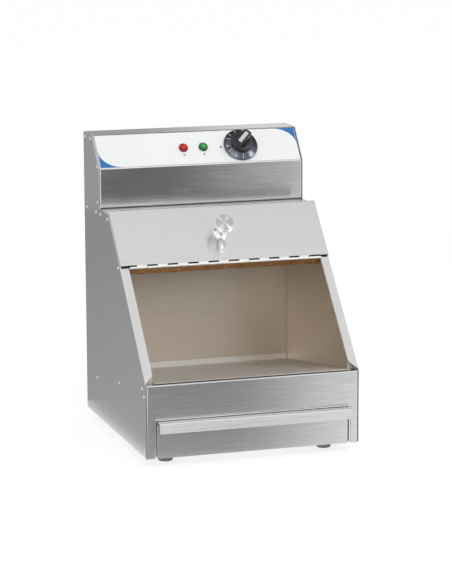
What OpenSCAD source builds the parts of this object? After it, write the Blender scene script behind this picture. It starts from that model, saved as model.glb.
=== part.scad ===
// Counter-top chip warmer: a folded stainless cabinet with a sloping open front, a filling hatch
// on a piano hinge, a sloping perforated tray, a fat drawer and a heated head with its controls.
// X runs to the right, Y to the back and Z up. The origin is under the middle of the object,
// on the surface that it stands on. Sizes are in millimetres and angles in degrees.

/* [Cabinet] */
// Width over the side panels
body_w = 330; // [310:1:400]
// Depth of the side panels
body_d = 345; // [338:1:380]
// Height of the side panels
body_h = 441; // [430:1:470]
// Height of the upright front edge of the side panels
front_h = 111.5; // [108:0.5:118]
// Angle of the sloping front above level
slope_a = 48; // [46.5:0.25:49]
// Depth at which the slope meets the shelf below the head
shelf_y = 198; // [192:0.5:200]
// Depth of the upright front of the head
head_y = 253.5; // [250:0.5:257]
// Depth that the control face leans back over
face_run = 37; // [34:0.5:40]
// Height of the control face
face_rise = 48; // [46:0.5:50]
// Thickness of the cabinet sheets
sheet = 1.2; // [1:0.1:1.5]
// Outside radius of the folded edges
fold_r = 2.2; // [2:0.1:3]
// Width of the inward flanges on the side panels
flange_w = 13.5; // [12:0.5:15]
// Clearance between fitted sheets
fit = 0.2; // [0.1:0.05:0.3]
// Running clearance between pieces that move
run = 0.3; // [0.2:0.05:0.5]

/* [Hatch] */
// Inset of the hatch's sides from the sides of the cabinet
hatch_in = 0.5; // [0.4:0.1:5]
// Length of the hatch along the slope
hatch_len = 99; // [96:0.5:101]
// Distance of the hinge pin up the slope
hinge_s = 197.3; // [196:0.1:198]
// Inset of the piano hinge's ends from the sides of the cabinet
hinge_in = 14; // [13.5:0.5:25]
// Length of one hinge knuckle with its gap
knuckle_pitch = 16; // [14:0.5:20]
// Length of the cut knuckle at the left end
knuckle_first = 11; // [6:0.5:14]
// Outside radius of the knuckles
knuckle_r = 2.1; // [2:0.05:2.4]
// Diameter of the hinge pin
pin_d = 2.4; // [2:0.1:2.6]
// Depth of the hinge leaf below the slope
leaf_d = 17.5; // [15:0.5:19]
// Number of rivets that hold the hinge leaf
leaf_rivets = 5; // [3:1:7]
// Diameter of the hatch knob
knob_d = 28; // [24:1:34]
// Height of the hatch knob above the hatch
knob_h = 32; // [26:1:36]

/* [Tray and drawer] */
// Fall of the perforated tray towards the back
tray_a = 8.6; // [6:0.2:9]
// Pitch of the tray holes across
hole_px = 20.5; // [16:0.5:24]
// Pitch of the tray holes front to back
hole_py = 18; // [15:0.5:22]
// Diameter of the tray holes
hole_d = 5; // [4:0.5:8]
// Height of the opening for the drawer
mouth_h = 57.5; // [54:0.5:62]
// Inset of the drawer's opening from the sides of the cabinet
mouth_in = 14.2; // [14:0.1:25]
// Gap around the drawer front
drawer_gap = 2.6; // [2:0.1:4]
// Reach of the foot of the drawer's grip lip in front of the cabinet
lip_d = 17.6; // [13:0.1:20]
// Depth of the level top of the grip lip
lip_top = 14; // [11:0.5:16]
// Drop of the grip lip
lip_h = 15.2; // [12:0.1:20]
// Reach of the drawer pan behind the inner back wall
pan_over = 10; // [0:1:20]
// Height of the drawer pan
pan_h = 34; // [28:1:38]

/* [Interior] */
// Depth of the inner back wall
back_y = 290; // [280:0.5:296]
// Gap from an outer side to the face of the inner side wall
wall_gap = 14; // [14:0.5:16]
// Inset of the heater hood's ends from the sides of the cabinet
hood_in = 35; // [25:1:55]
// Diameter of the heating tube
tube_d = 8; // [6.5:0.5:8.5]
// Distance between the legs of the heating tube
tube_gap = 18; // [16:0.5:22]

/* [Controls] */
// Diameter of the dial skirt
dial_d = 54; // [46:1:56]
// Place of the dial right of the middle
dial_x = 68.2; // [60:0.2:90]
// Direction of the dial pointer, clockwise from straight up
dial_a = 44; // [0:1:90]
// Height of the dial above the control face
dial_h = 24; // [20:1:30]
// Places of the red and the green pilot lamp across
lamp_x = [-24.5, 7.5];
// Diameter of the lamp bezels
lamp_d = 14.5; // [12:0.5:16]

/* [Feet] */
// Height of the feet below the side panels
foot_h = 14; // [10:0.5:20]
// Diameter of the feet
foot_d = 22; // [18:0.5:30]
// Inset of the feet from the sides, the front and the back
foot_in = 41; // [35:0.5:60]

/* [Hidden] */
SIDES = ["left", "right"];
CORNERS = ["front_left", "front_right", "rear_left", "rear_right"];
$fn = 48;
// A little more than nothing, for cuts that run past a face
eps = 0.5;

// Outline of the side panels, from the lower front corner, in depth and height
slope_rise = shelf_y * tan(slope_a);
shelf_h = front_h + slope_rise;
face_foot = body_h - face_rise;
side_outline = [[0, 0], [0, front_h], [shelf_y, shelf_h], [head_y, shelf_h],
    [head_y, face_foot], [head_y + face_run, body_h], [body_d, body_h], [body_d, 0]];
slope_len = shelf_y / cos(slope_a);
face_a = atan2(face_rise, face_run);
face_len = norm([face_run, face_rise]);
inner_x = body_w / 2 - sheet;
hatch_w = body_w - 2 * hatch_in;
hinge_len = body_w - 2 * hinge_in;
mouth_w = body_w - 2 * mouth_in;
hood_len = body_w - 2 * hood_in;

// The front panel closes the front between the side panels
panel_x = inner_x - fit;
front_top = front_h - 2;
front_flange = 13;
front_return = 10;

// The hatch and its hinge, measured from the slope
pin_h = knuckle_r + run;
hatch_top = pin_h + knuckle_r;
hatch_foot = hinge_s + knuckle_r + 1.5;
knuckle_edges = concat([-hinge_len / 2],
    [for (x = [-hinge_len / 2 + knuckle_first : knuckle_pitch : hinge_len / 2 - 6]) x],
    [hinge_len / 2]);
knuckle_play = 0.3;
function knuckle_from(i) = knuckle_edges[i] + knuckle_play / 2;
function knuckle_len(i) = knuckle_edges[i + 1] - knuckle_edges[i] - knuckle_play;
// Thickness of the hatch's straps, and the place of its knob
roll_t = 0.8;
knob_s = hatch_foot + hatch_len * 0.475;
leaf_s = hinge_s + knuckle_r;
leaf_t = 1;
rail_depth = leaf_d + 1.5;
rail_reach = 20;
rail_drop = sheet + fit;

// The tray and its rails; the tray leaves the front panel's return by the running gap
tray_y = 2.4;
tray_t = 1.2;
tray_h = front_top + run + (front_return - tray_y) * tan(tray_a) + tray_t / cos(tray_a);
wall_x = body_w / 2 - wall_gap;
tray_x = wall_x - 2 * run;
tray_len = (back_y - 1.5 - tray_y) / cos(tray_a);
rail_h = 16;
rail_w = 18;
rail_start = (front_flange + fit - tray_y + (rail_h + tray_t + run) * sin(tray_a)) / cos(tray_a);
rail_end = tray_len - 1;

// The drawer slides on the base plate, between its runners
base_top = 2 * sheet;
drawer_x = mouth_w / 2 - drawer_gap;
drawer_foot = 0;
drawer_top = mouth_h - 2;
pan_x = drawer_x - 1.5;
pan_len = back_y + pan_over;
pan_t = 1;
nut_h = 4;
pan_z = base_top + nut_h + 1;
runner_x = pan_x + run;
runner_y = 16;
runner_len = sheet + pan_len - runner_y;
runner_foot = 10;
runner_h = pan_z + pan_h - pan_t - run - base_top;
base_front = sheet + 2;

// Rivets along each side, as depth and height
rivet_d = 3.2;
rivet_head = 5;
rivet_dome = 3.6;
rivet_rise = 1.4;
rivet_tail = 2.6;
rivet_tail_d = 4.4;
rivet_up = 7;
rail_rivets = [for (s = [17, 147, 279]) tray_point(s, -rail_h / 2)];
side_rivets = concat(rail_rivets,
    [[front_flange - 5, front_top - 18], [front_flange - 5, 11],
    slope_point(hinge_s + 9, -9.5), [shelf_y + 6, shelf_h - 8.5],
    [head_y - 8, shelf_h - rivet_up], [head_y + 18, shelf_h - rivet_up],
    [body_d - 17.5, shelf_h - rivet_up], [head_y + 8, shelf_h + 9],
    [head_y + 10, face_foot + 2], [head_y + face_run + 12, body_h - rivet_up],
    [body_d - 10.5, body_h - rivet_up]]);

// The reach of the object to the front and to the back, which centres it
back_t = sheet;
gland_reach = 18.6;
y_mid = (body_d + back_t + gland_reach - lip_d) / 2;

// Rows of the tray's holes, and of the vents and screws of the back
hole_nx = floor((tray_x - hole_d) / hole_px);
hole_ny = floor((tray_len - 24) / hole_py);
vent_n = 9;
vent_x = 66;
vent_z = body_h - 52;
vent_pitch = 12;
vent_h = 28;
screw_d = 4;
gland_x = body_w / 2 - 35;
gland_z = shelf_h + 39.6;
gland_d = 20;
gland_hex = 27;
gland_bore = 8.5;
gland_in = 12;
gland_nut_t = 5.5;

// Depth of the folded lip and side flanges of the head cover, and of the head floor's flanges
head_lip = 12;
floor_side = 14;
floor_drop = 9;

// The heater hangs below the head floor
floor_under = floor(100 * (shelf_h - sheet)) / 100;
hood_gap = 5;
hood_top = floor_under - hood_gap;
hood_w = 30;
hood_flare = 4;
hood_y = back_y - hood_w / 2 - hood_flare - 1;
hood_h = 20;
hood_t = 0.8;
tube_z = hood_top - 13;
tube_x = hood_len / 2 - 26;
tube_bend = 10;
hanger_x = [-tube_x + 46, tube_x - 30];
hanger_w = 30;
hanger_neck = 22;
hanger_drop = 7;
hanger_foot = 12;
standoff_d = 9;
standoff_hole = 4.3;
standoff_nut = 3;
hanger_top = hood_top - hood_t;

// The dial and its shaft, and the insert let into the bar across the dial's grip
label_t = 0.5;
glue = 0.02;
shaft_d = 6;
dial_gap = 0.6;
skirt_top = 6.4;
grip_r = 16.5;
bar_off = -1.6;
bar_w = 12.4;
insert_w = 6.2;
insert_len = 22.5;
insert_y = 1.1;
insert_deep = 1;

// The thermostat's bulb, beside the heater hood and in front of the inner back
bulb_d = 6;
bulb_len = 80;
bulb_lead_d = 2;
bulb_bend = 10;
bulb_x = 5 - hood_len / 2;
bulb_y = back_y - 4.5;
bulb_z = floor_under - 36;
bulb_clips = [bulb_len / 2 - 19.5, bulb_len / 2 + 20.5];

function turned(v, a) = [v[0] * cos(a) - v[1] * sin(a), v[0] * sin(a) + v[1] * cos(a)];
function unit(v) = v / norm(v);
function leftward(v) = [-v[1], v[0]];
// A point of the slope, a way up from its foot and out from its face, as depth and height
function slope_point(s, h) = [0, front_h] + turned([s, h], slope_a);
function face_point(s, h) = [head_y, face_foot] + turned([s, h], face_a);
function tray_point(s, h) = [tray_y, tray_h] + turned([s, h], -tray_a);

// The rounded corner of a path at q, as points with the unit normal to their left
function bend(p, q, s, r, n) = let (
    a = unit(q - p), b = unit(s - q), whole = acos(min(1, a * b)),
    side = cross(a, b) > 0 ? 1 : -1,
    c = q - a * r * tan(whole / 2) + leftward(a) * side * r)
    [for (i = [0 : n]) let (d = turned(a, side * whole * i / n))
        [c - leftward(d) * side * r, leftward(d)]];
function path_points(pts, r, n) = let (m = len(pts) - 1) concat(
    [[pts[0], leftward(unit(pts[1] - pts[0]))]],
    [for (i = [1 : m - 1]) each bend(pts[i - 1], pts[i], pts[i + 1], r, n)],
    [[pts[m], leftward(unit(pts[m] - pts[m - 1]))]]);
// Outline of a sheet folded along a path, with its thickness to the left of the path
function folded(pts, r, t, n = 5) = let (q = path_points(pts, r, n)) concat(
    [for (e = q) e[0]], [for (i = [len(q) - 1 : -1 : 0]) q[i][0] + q[i][1] * t]);

// From the cabinet's own corner, at the foot of its front, to the part's frame
module cabinet() { translate([0, -y_mid, foot_h]) children(); }
module on_slope() { cabinet() translate([0, 0, front_h]) rotate([slope_a, 0, 0]) children(); }
module on_face() { cabinet() translate([0, head_y, face_foot]) rotate([face_a, 0, 0]) children(); }
module on_tray() { cabinet() translate([0, tray_y, tray_h]) rotate([-tray_a, 0, 0]) children(); }
// An outline in depth and height, extruded from x across a width
module across(x, w) { translate([x, 0, 0]) rotate([90, 0, 90]) linear_extrude(w) children(); }
module centred(w) { across(-w / 2, w) children(); }
// The left piece as drawn, the right one as its mirror image
module handed(side) { mirror([side == "left" ? 0 : 1, 0, 0]) children(); }
// What rounding takes off an edge that runs along Z, the material being in X > 0 and Y > 0
module edge_cut(len, r = fold_r) {
    linear_extrude(len) difference() {
        translate([-1, -1]) square(r + 1);
        translate([r, r]) circle(r);
    }
}
// The same for an edge that runs along X, with the material in Y > 0 and below the edge
module level_cut(len, r = fold_r) {
    translate([-len / 2, 0, 0]) rotate([90, 0, 90]) mirror([0, 1]) edge_cut(len, r);
}
module rivet_holes(d = rivet_d + 0.1) {
    cabinet() for (p = side_rivets) translate([-body_w / 2 - eps, p[0], p[1]])
        rotate([0, 90, 0]) cylinder(d = d, h = body_w + 2 * eps);
}
module rivet(grip) {
    translate([0, 0, -grip - rivet_tail / 2]) cylinder(d = rivet_d, h = grip + rivet_tail / 2 + 0.4);
    translate([0, 0, -grip - rivet_tail])
        cylinder(d1 = 0.8 * rivet_d, d2 = rivet_tail_d, h = rivet_tail - 0.05);
    intersection() {
        translate([0, 0, rivet_rise - rivet_dome]) sphere(rivet_dome);
        cylinder(d = rivet_head, h = 2 * rivet_rise);
    }
}
module side_rivet_set(side) {
    color("gainsboro") handed(side) cabinet() for (p = side_rivets)
        translate([-body_w / 2, p[0], p[1]]) rotate([0, -90, 0]) rivet(2 * sheet + fit);
}

// Side panel, drawn on the left, with flanges along the slope, the foot and the back
module side_panel(side) {
    out = -body_w / 2;
    color("silver") handed(side) difference() {
        union() {
            cabinet() across(out, sheet) polygon(side_outline);
            on_slope() translate([0, 0, -sheet]) linear_extrude(sheet) polygon([[out, 0.5],
                [out + flange_w - 3, 11], [out + flange_w, 15],
                [out + flange_w, slope_len], [out, slope_len]]);
            cabinet() translate([out, base_front, 0]) cube([flange_w, body_d - base_front, sheet]);
            cabinet() translate([out, body_d - sheet, 0]) cube([flange_w, sheet, body_h - 4]);
        }
        on_slope() translate([out, -fold_r, 0]) rotate([-90, 0, 0]) edge_cut(slope_len + fold_r);
        cabinet() translate([out, base_front, 0]) rotate([90, 0, 180]) mirror([1, 0, 0])
            edge_cut(body_d);
        cabinet() translate([out, body_d, 0]) mirror([0, 1, 0]) edge_cut(body_h);
        rivet_holes();
        back_screw_holes();
    }
}

// Front panel with the drawer's mouth, its edges folded back
module front_panel() {
    w = 2 * panel_x;
    fold_z = sheet + fit;
    color("darkgray") difference() {
        union() {
            cabinet() translate([-w / 2, 0, 0]) cube([w, sheet, front_top]);
            cabinet() for (m = [0, 1]) mirror([m, 0, 0]) {
                translate([-w / 2, 0, fold_z]) cube([sheet, front_flange, front_top - fold_z]);
                translate([-mouth_w / 2 - sheet, 0, fold_z])
                    cube([sheet, front_return, mouth_h - fold_z]);
            }
            cabinet() translate([-mouth_w / 2 - sheet, 0, mouth_h])
                cube([mouth_w + 2 * sheet, front_return, sheet]);
            cabinet() translate([-w / 2, 0, front_top - sheet]) cube([w, front_return, sheet]);
        }
        cabinet() translate([-mouth_w / 2, -eps, -eps]) cube([mouth_w, sheet + 1, mouth_h + eps]);
        cabinet() for (m = [0, 1]) mirror([m, 0, 0]) {
            translate([-w / 2, 0, -eps]) edge_cut(front_top + 2 * eps);
            translate([-mouth_w / 2, 0, -eps]) mirror([1, 0, 0]) edge_cut(mouth_h + eps);
        }
        cabinet() translate([0, 0, front_top]) level_cut(w + 2);
        cabinet() translate([0, 0, mouth_h]) mirror([0, 0, 1]) level_cut(mouth_w);
        rivet_holes();
    }
}

// Base plate with upturned sides, standing on the flanges of the side panels
module base_plate() {
    w = 2 * (inner_x - fit);
    color("silver") difference() {
        cabinet() union() {
            translate([-w / 2, base_front + 12, sheet])
                cube([w, body_d - sheet - fit - base_front - 12, sheet]);
            translate([-mouth_w / 2 + fit, base_front, sheet]) cube([mouth_w - 2 * fit, 13, sheet]);
            for (m = [0, 1]) mirror([m, 0, 0])
                translate([-w / 2, base_front + 12, sheet]) cube([sheet, body_d - 22, 12]);
            translate([-w / 2, body_d - 2 * sheet - fit, sheet]) cube([w, sheet, 12]);
        }
        at_feet() cylinder(d = 5.3, h = 10);
    }
}
module at_feet() {
    translate([0, -y_mid, 0]) for (x = [-1, 1]) for (y = [foot_in, body_d - foot_in])
        translate([x * (body_w / 2 - foot_in), y, foot_h]) children();
}
module foot(corner) {
    i = search([corner], CORNERS)[0];
    x = (i % 2 == 0 ? -1 : 1) * (body_w / 2 - foot_in);
    y = i < 2 ? foot_in : body_d - foot_in;
    h = foot_h + sheet;
    color("#2b2b2b") translate([x, y - y_mid, 0]) rotate_extrude() polygon([[2.7, h],
        [2.7, 6], [4.6, 6], [4.6, 0], [foot_d / 2 - 2, 0], [foot_d / 2 - 0.6, 0.6],
        [foot_d / 2, 2], [foot_d / 2, h]]);
}
module foot_screws() {
    color("gainsboro") at_feet() {
        translate([0, 0, 7.5 - foot_h]) cylinder(d = 5, h = foot_h + base_top - 7.5 + nut_h);
        translate([0, 0, 3.5 - foot_h]) cylinder(d = 8.6, h = 2.5);
        translate([0, 0, 6 - foot_h]) cylinder(d = 5, h = 3);
        translate([0, 0, base_top]) cylinder(d = 9, h = nut_h, $fn = 6);
    }
}

// Places of the screws of the back panel, mirrored about the middle
back_screw_z = [22, body_h * 0.36, body_h * 0.68, body_h - 30];
module back_screw_places() {
    cabinet() for (m = [0, 1]) mirror([m, 0, 0]) for (z = back_screw_z)
        translate([-body_w / 2 + flange_w / 2, body_d + back_t, z]) rotate([-90, 0, 0]) children();
}
module back_screw_holes() {
    back_screw_places() translate([0, 0, -back_t - sheet - 1])
        cylinder(d = screw_d + 0.3, h = back_t + sheet + 2);
}
module back_screws() {
    color("gainsboro") back_screw_places() {
        translate([0, 0, -8]) cylinder(d = screw_d, h = 8);
        difference() {
            intersection() {
                translate([0, 0, -3.2]) sphere(d = 11);
                cylinder(d = 8, h = 2.4);
            }
            for (a = [0, 90]) rotate([0, 0, a]) translate([-2.2, -0.5, 1.2]) cube([4.4, 1, 3]);
        }
    }
}
module back_panel() {
    w = body_w - 2 * fold_r - 1;
    color("silver") difference() {
        cabinet() translate([-w / 2, body_d, 1]) cube([w, back_t, body_h - 2]);
        back_screw_holes();
        cabinet() for (x = [-1, 1], i = [0 : vent_n - 1])
            translate([x * vent_x + (i - (vent_n - 1) / 2) * vent_pitch, body_d + back_t + eps, vent_z])
                rotate([90, 0, 0]) slot(vent_h, 4, back_t + 2 * eps);
        cabinet() translate([gland_x, body_d - eps, gland_z]) rotate([-90, 0, 0])
            cylinder(d = gland_d + 0.4, h = 5);
    }
}
// An upright slot with round ends
module slot(len, w, h) {
    translate([-w / 2, 0, 0]) cube([w, len - w, h]);
    for (y = [0, len - w]) translate([0, y, 0]) cylinder(d = w, h = h);
}

// Head: a cover folded over the front, the control face and the top, and the floor below it
module head_cover() {
    w = 2 * (inner_x - fit);
    foot_z = shelf_h + fit;
    prof = [[head_y + head_lip, foot_z], [head_y, foot_z], [head_y, face_foot],
        [head_y + face_run, body_h], [body_d - sheet - fit, body_h]];
    outer = [[head_y, foot_z], [head_y, face_foot], [head_y + face_run, body_h],
        [body_d - sheet - fit, body_h], [body_d - sheet - fit, foot_z]];
    color("darkgray") difference() {
        cabinet() union() {
            centred(w) polygon(folded([for (i = [4 : -1 : 0]) prof[i]], 4, sheet));
            for (m = [0, 1]) mirror([m, 0, 0]) across(-w / 2, sheet) difference() {
                polygon([for (i = [0 : 3]) outer[i] + (i == 1 || i == 2 ? [0.5, -0.5] : [0, 0]),
                    outer[4]]);
                polygon([outer[0] + [head_lip, -1], outer[1] + [head_lip, -8], outer[2] + [6, -14],
                    outer[3] + [1, -14], outer[4] + [1, -1]]);
            }
        }
        cabinet() for (m = [0, 1]) mirror([m, 0, 0]) {
            translate([-w / 2, head_y, 0]) edge_cut(face_foot + 2);
            translate([-w / 2, head_y, body_h]) rotate([-90, 0, 0]) edge_cut(body_d);
        }
        on_face() for (m = [0, 1]) mirror([m, 0, 0])
            translate([-w / 2, -2, 0]) rotate([-90, 0, 0]) edge_cut(face_len + 4);
        face_holes();
        rivet_holes();
        heater_leads(4);
    }
}
module face_holes() {
    on_face() {
        for (x = lamp_x) translate([x, face_len / 2, -8]) cylinder(d = 10.4, h = 12);
        translate([dial_x, face_len / 2, -8]) cylinder(d = 9, h = 12);
        for (a = [0, 180]) translate([dial_x, face_len / 2, -8]) rotate([0, 0, a])
            translate([14, 0, 0]) cylinder(d = 4.4, h = 12);
    }
}
module head_floor() {
    w = 2 * (inner_x - fit);
    front = shelf_y + sheet;
    rear = body_d - sheet - fit;
    color("silver") difference() {
        cabinet() union() {
            translate([-w / 2, front, shelf_h - sheet]) cube([w, rear - front, sheet]);
            for (m = [0, 1]) mirror([m, 0, 0])
                translate([-w / 2, front, shelf_h - floor_side]) cube([sheet, rear - front, floor_side]);
            translate([-wall_x + 2, front, shelf_h - floor_drop])
                cube([2 * wall_x - 4, sheet, floor_drop]);
        }
        cabinet() translate([0, front, shelf_h]) level_cut(w + 2);
        rivet_holes();
        heater_leads(4);
        bulb_lead(6);
        standoff_places() translate([0, 0, -2]) cylinder(d = standoff_hole, h = 6);
    }
}

// Cross rail that carries the hinge, with tabs riveted to the side panels
module cross_rail() {
    w = 2 * (inner_x - fit);
    color("silver") difference() {
        on_slope() union() {
            translate([-w / 2, leaf_s, -rail_drop - sheet]) cube([w, rail_reach, sheet]);
            translate([-wall_x + fit, leaf_s, -rail_depth])
                cube([2 * (wall_x - fit), sheet, rail_depth - rail_drop]);
            for (m = [0, 1]) mirror([m, 0, 0])
                translate([-w / 2, leaf_s, -rail_depth])
                    cube([sheet, rail_reach - 4, rail_depth - rail_drop]);
        }
        leaf_rivet_places() translate([0, 0, -6]) cylinder(d = rivet_d + 0.1, h = 8);
        rivet_holes();
    }
}
module leaf_rivet_places() {
    on_slope() for (i = [0 : leaf_rivets - 1])
        translate([(i / (leaf_rivets - 1) - 0.5) * (hinge_len - 14), leaf_s - leaf_t, -leaf_d * 0.65])
            rotate([90, 0, 0]) children();
}
// Every knuckle is a rolled tube; even ones belong to the leaf, odd ones to the hatch
module knuckles(first) {
    for (i = [first : 2 : len(knuckle_edges) - 2]) translate([knuckle_from(i), hinge_s, pin_h])
        rotate([0, 90, 0]) cylinder(r = knuckle_r, h = knuckle_len(i));
}
module pin_bore() {
    translate([-body_w / 2, hinge_s, pin_h]) rotate([0, 90, 0]) cylinder(d = pin_d + 0.3, h = body_w);
}
module hinge_leaf() {
    color("gainsboro") difference() {
        on_slope() difference() {
            union() {
                translate([-hinge_len / 2, leaf_s - leaf_t, -leaf_d])
                    cube([hinge_len, leaf_t, leaf_d - run]);
                for (i = [0 : 2 : len(knuckle_edges) - 2])
                    translate([knuckle_from(i), leaf_s - leaf_t, -1])
                        cube([knuckle_len(i), leaf_t, pin_h + 1]);
                knuckles(0);
            }
            pin_bore();
        }
        leaf_rivet_places() translate([0, 0, -6]) cylinder(d = rivet_d + 0.1, h = 8);
    }
}
module hinge_pin() {
    color("gainsboro") on_slope() translate([-hinge_len / 2, hinge_s, pin_h]) rotate([0, 90, 0])
        cylinder(d = pin_d, h = hinge_len);
}
module hinge_rivets() {
    color("gainsboro") leaf_rivet_places() rivet(leaf_t + sheet);
}

// Hatch: a plate with folded edges whose lower edge is rolled into knuckles
module hatch() {
    x0 = -hatch_w / 2;
    top = hatch_foot + hatch_len;
    color("gainsboro") difference() {
        on_slope() difference() {
            union() {
                translate([x0, hatch_foot, hatch_top - sheet]) cube([hatch_w, hatch_len, sheet]);
                for (m = [0, 1]) mirror([m, 0, 0])
                    translate([x0, hatch_foot, run]) cube([sheet, hatch_len, hatch_top - run]);
                translate([x0, top - sheet, run]) cube([hatch_w, sheet, hatch_top - run]);
                for (i = [1 : 2 : len(knuckle_edges) - 2])
                    translate([knuckle_from(i), hinge_s, hatch_top - roll_t])
                        cube([knuckle_len(i), hatch_foot - hinge_s + 1, roll_t]);
                knuckles(1);
            }
            pin_bore();
            for (m = [0, 1]) mirror([m, 0, 0]) {
                translate([x0, hatch_foot - 1, hatch_top]) rotate([-90, 0, 0]) edge_cut(hatch_len + 2, 2);
                translate([x0, top, 0]) mirror([0, 1, 0]) edge_cut(hatch_top + 1, 2);
            }
            translate([0, top, hatch_top]) mirror([0, 1, 0]) level_cut(hatch_w + 2, 2);
        }
        on_slope() translate([0, knob_s, 0]) cylinder(d = 5.3, h = 12);
    }
}
module hatch_knob() {
    r = knob_d / 2;
    color("gainsboro") on_slope() translate([0, knob_s, hatch_top]) difference() {
        rotate_extrude($fn = 64) polygon(concat([[0, 0], [9.6, 0], [9.6, 2], [8.8, 3.2], [6.5, 4.5], [5, 7],
            [4.6, 12], [5, knob_h - 13], [7.5, knob_h - 9], [r - 1.2, knob_h - 7.2], [r, knob_h - 6]],
            [for (i = [0 : 4]) [r - 1.5 + 1.5 * cos(i * 22.5), knob_h - 1.5 + 1.5 * sin(i * 22.5)]],
            [[r - 4, knob_h], [r - 5, knob_h - 0.8], [0, knob_h - 0.8]]));
        translate([0, 0, -1]) cylinder(d = 5.2, h = 13);
    }
}
module hatch_knob_screw() {
    color("gainsboro") on_slope() translate([0, knob_s, hatch_top - sheet]) {
        translate([0, 0, -0.1]) cylinder(d = 5, h = 11);
        translate([0, 0, -2.2]) cylinder(d = 9, h = 2.2);
    }
}

// Inner walls that line the chip well, from the tray rails up to the head floor
module inner_wall(side) {
    low = -tray_t - run;
    front_s = rail_start + 6;
    a = tray_point(front_s, low);
    b = tray_point((back_y + sheet - tray_y) / cos(tray_a), low);
    h = -sheet - fit;
    s_front = (a[0] + h * sin(slope_a)) / cos(slope_a);
    top_s = (floor_under - front_h - h * cos(slope_a)) / sin(slope_a);
    color("silver") handed(side) difference() {
        union() {
            cabinet() across(-wall_x - sheet, sheet) polygon([a, slope_point(s_front, h),
                slope_point(top_s, h), [back_y + sheet, floor_under], [back_y + sheet, b[1]]]);
            on_slope() translate([-wall_x - 7, s_front + 4, h - sheet])
                cube([7, hinge_s - s_front - 14, sheet]);
        }
        on_slope() translate([-wall_x - 10, leaf_s - leaf_t - 1, -rail_depth - 1])
            cube([12, rail_reach + 3, rail_depth + 2]);
        cabinet() translate([-wall_x - 10, shelf_y - 3, shelf_h - 15]) cube([12, 6, 18]);
    }
}
module inner_back() {
    w = 2 * (wall_x - fit);
    low = tray_point((back_y - tray_y) / cos(tray_a), 0)[1] - 8;
    color("silver") cabinet() difference() {
        union() {
            translate([-w / 2, back_y, low]) cube([w, sheet, floor_under - low]);
            translate([-w / 2, back_y, floor_under - sheet]) cube([w, 14, sheet]);
            for (m = [0, 1]) mirror([m, 0, 0])
                translate([-w / 2, back_y, low]) cube([sheet, 12, floor_under - low]);
            translate([-w / 2, back_y, low]) cube([w, 12, sheet]);
        }
        for (x = bulb_clips) translate([bulb_x + x, back_y - 1, bulb_z])
            rotate([-90, 0, 0]) cylinder(d = 3.4, h = 4);
    }
}

// Rail under one edge of the tray, riveted to the side panel
module tray_rail(side) {
    top = -tray_t - run;
    x = -inner_x;
    len = rail_end - rail_start;
    color("silver") handed(side) difference() {
        on_tray() union() {
            translate([x, rail_start, top - rail_h]) cube([sheet, len, rail_h]);
            translate([x, rail_start, top - sheet]) cube([rail_w, len, sheet]);
        }
        on_tray() translate([x + rail_w, rail_start + len / 2, top]) mirror([1, 0, 0])
            translate([0, -len / 2 - 1, 0]) rotate([-90, 0, 0]) edge_cut(len + 2, 0.8);
        rivet_holes();
    }
}
module perforated_tray() {
    color("gainsboro") on_tray() {
        translate([0, 0, -tray_t]) linear_extrude(tray_t) difference() {
            translate([-tray_x, 0]) square([2 * tray_x, tray_len]);
            for (i = [-hole_nx : hole_nx], j = [0 : hole_ny - 1])
                translate([i * hole_px, 12 + j * hole_py]) circle(d = hole_d, $fn = 24);
        }
        translate([-tray_x, tray_len - tray_t, -tray_t]) cube([2 * tray_x, tray_t, 10]);
    }
}

// Drawer: the front is folded forward at its top into a grip lip
module drawer_front() {
    w = 2 * drawer_x;
    color("darkgray") cabinet() difference() {
        union() {
            centred(w) polygon(folded(drawer_path, fold_r, sheet));
            for (m = [0, 1]) mirror([m, 0, 0])
                translate([-w / 2, 0, base_top + run]) cube([sheet, 10, drawer_top - 6 - base_top - run]);
        }
        for (m = [0, 1]) mirror([m, 0, 0]) translate([-w / 2, 0, 0]) edge_cut(drawer_top - 6);
    }
}
// The path runs up the back of the front, over the lip and down its leaning face, with the
// thickness to its left
drawer_path = [[sheet, drawer_foot], [sheet, drawer_top], [-lip_top, drawer_top],
    [-lip_d, drawer_top - lip_h]];
module drawer_pan() {
    rim = runner_x + sheet;
    rim_y = runner_y + run - sheet;
    color("silver") cabinet() translate([0, sheet, pan_z]) difference() {
        union() {
            translate([-pan_x, 0, 0]) cube([2 * pan_x, pan_len, pan_h]);
            translate([-rim, rim_y, pan_h - pan_t]) cube([2 * rim, pan_len - rim_y, pan_t]);
        }
        translate([pan_t - pan_x, pan_t, pan_t])
            cube([2 * (pan_x - pan_t), pan_len - 2 * pan_t, pan_h]);
    }
}
module drawer_runner(side) {
    color("silver") handed(side) cabinet() union() {
        translate([-runner_x - sheet, runner_y, base_top]) cube([sheet, runner_len, runner_h]);
        translate([-runner_x - runner_foot, runner_y, base_top]) cube([runner_foot, runner_len, sheet]);
    }
}

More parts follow.
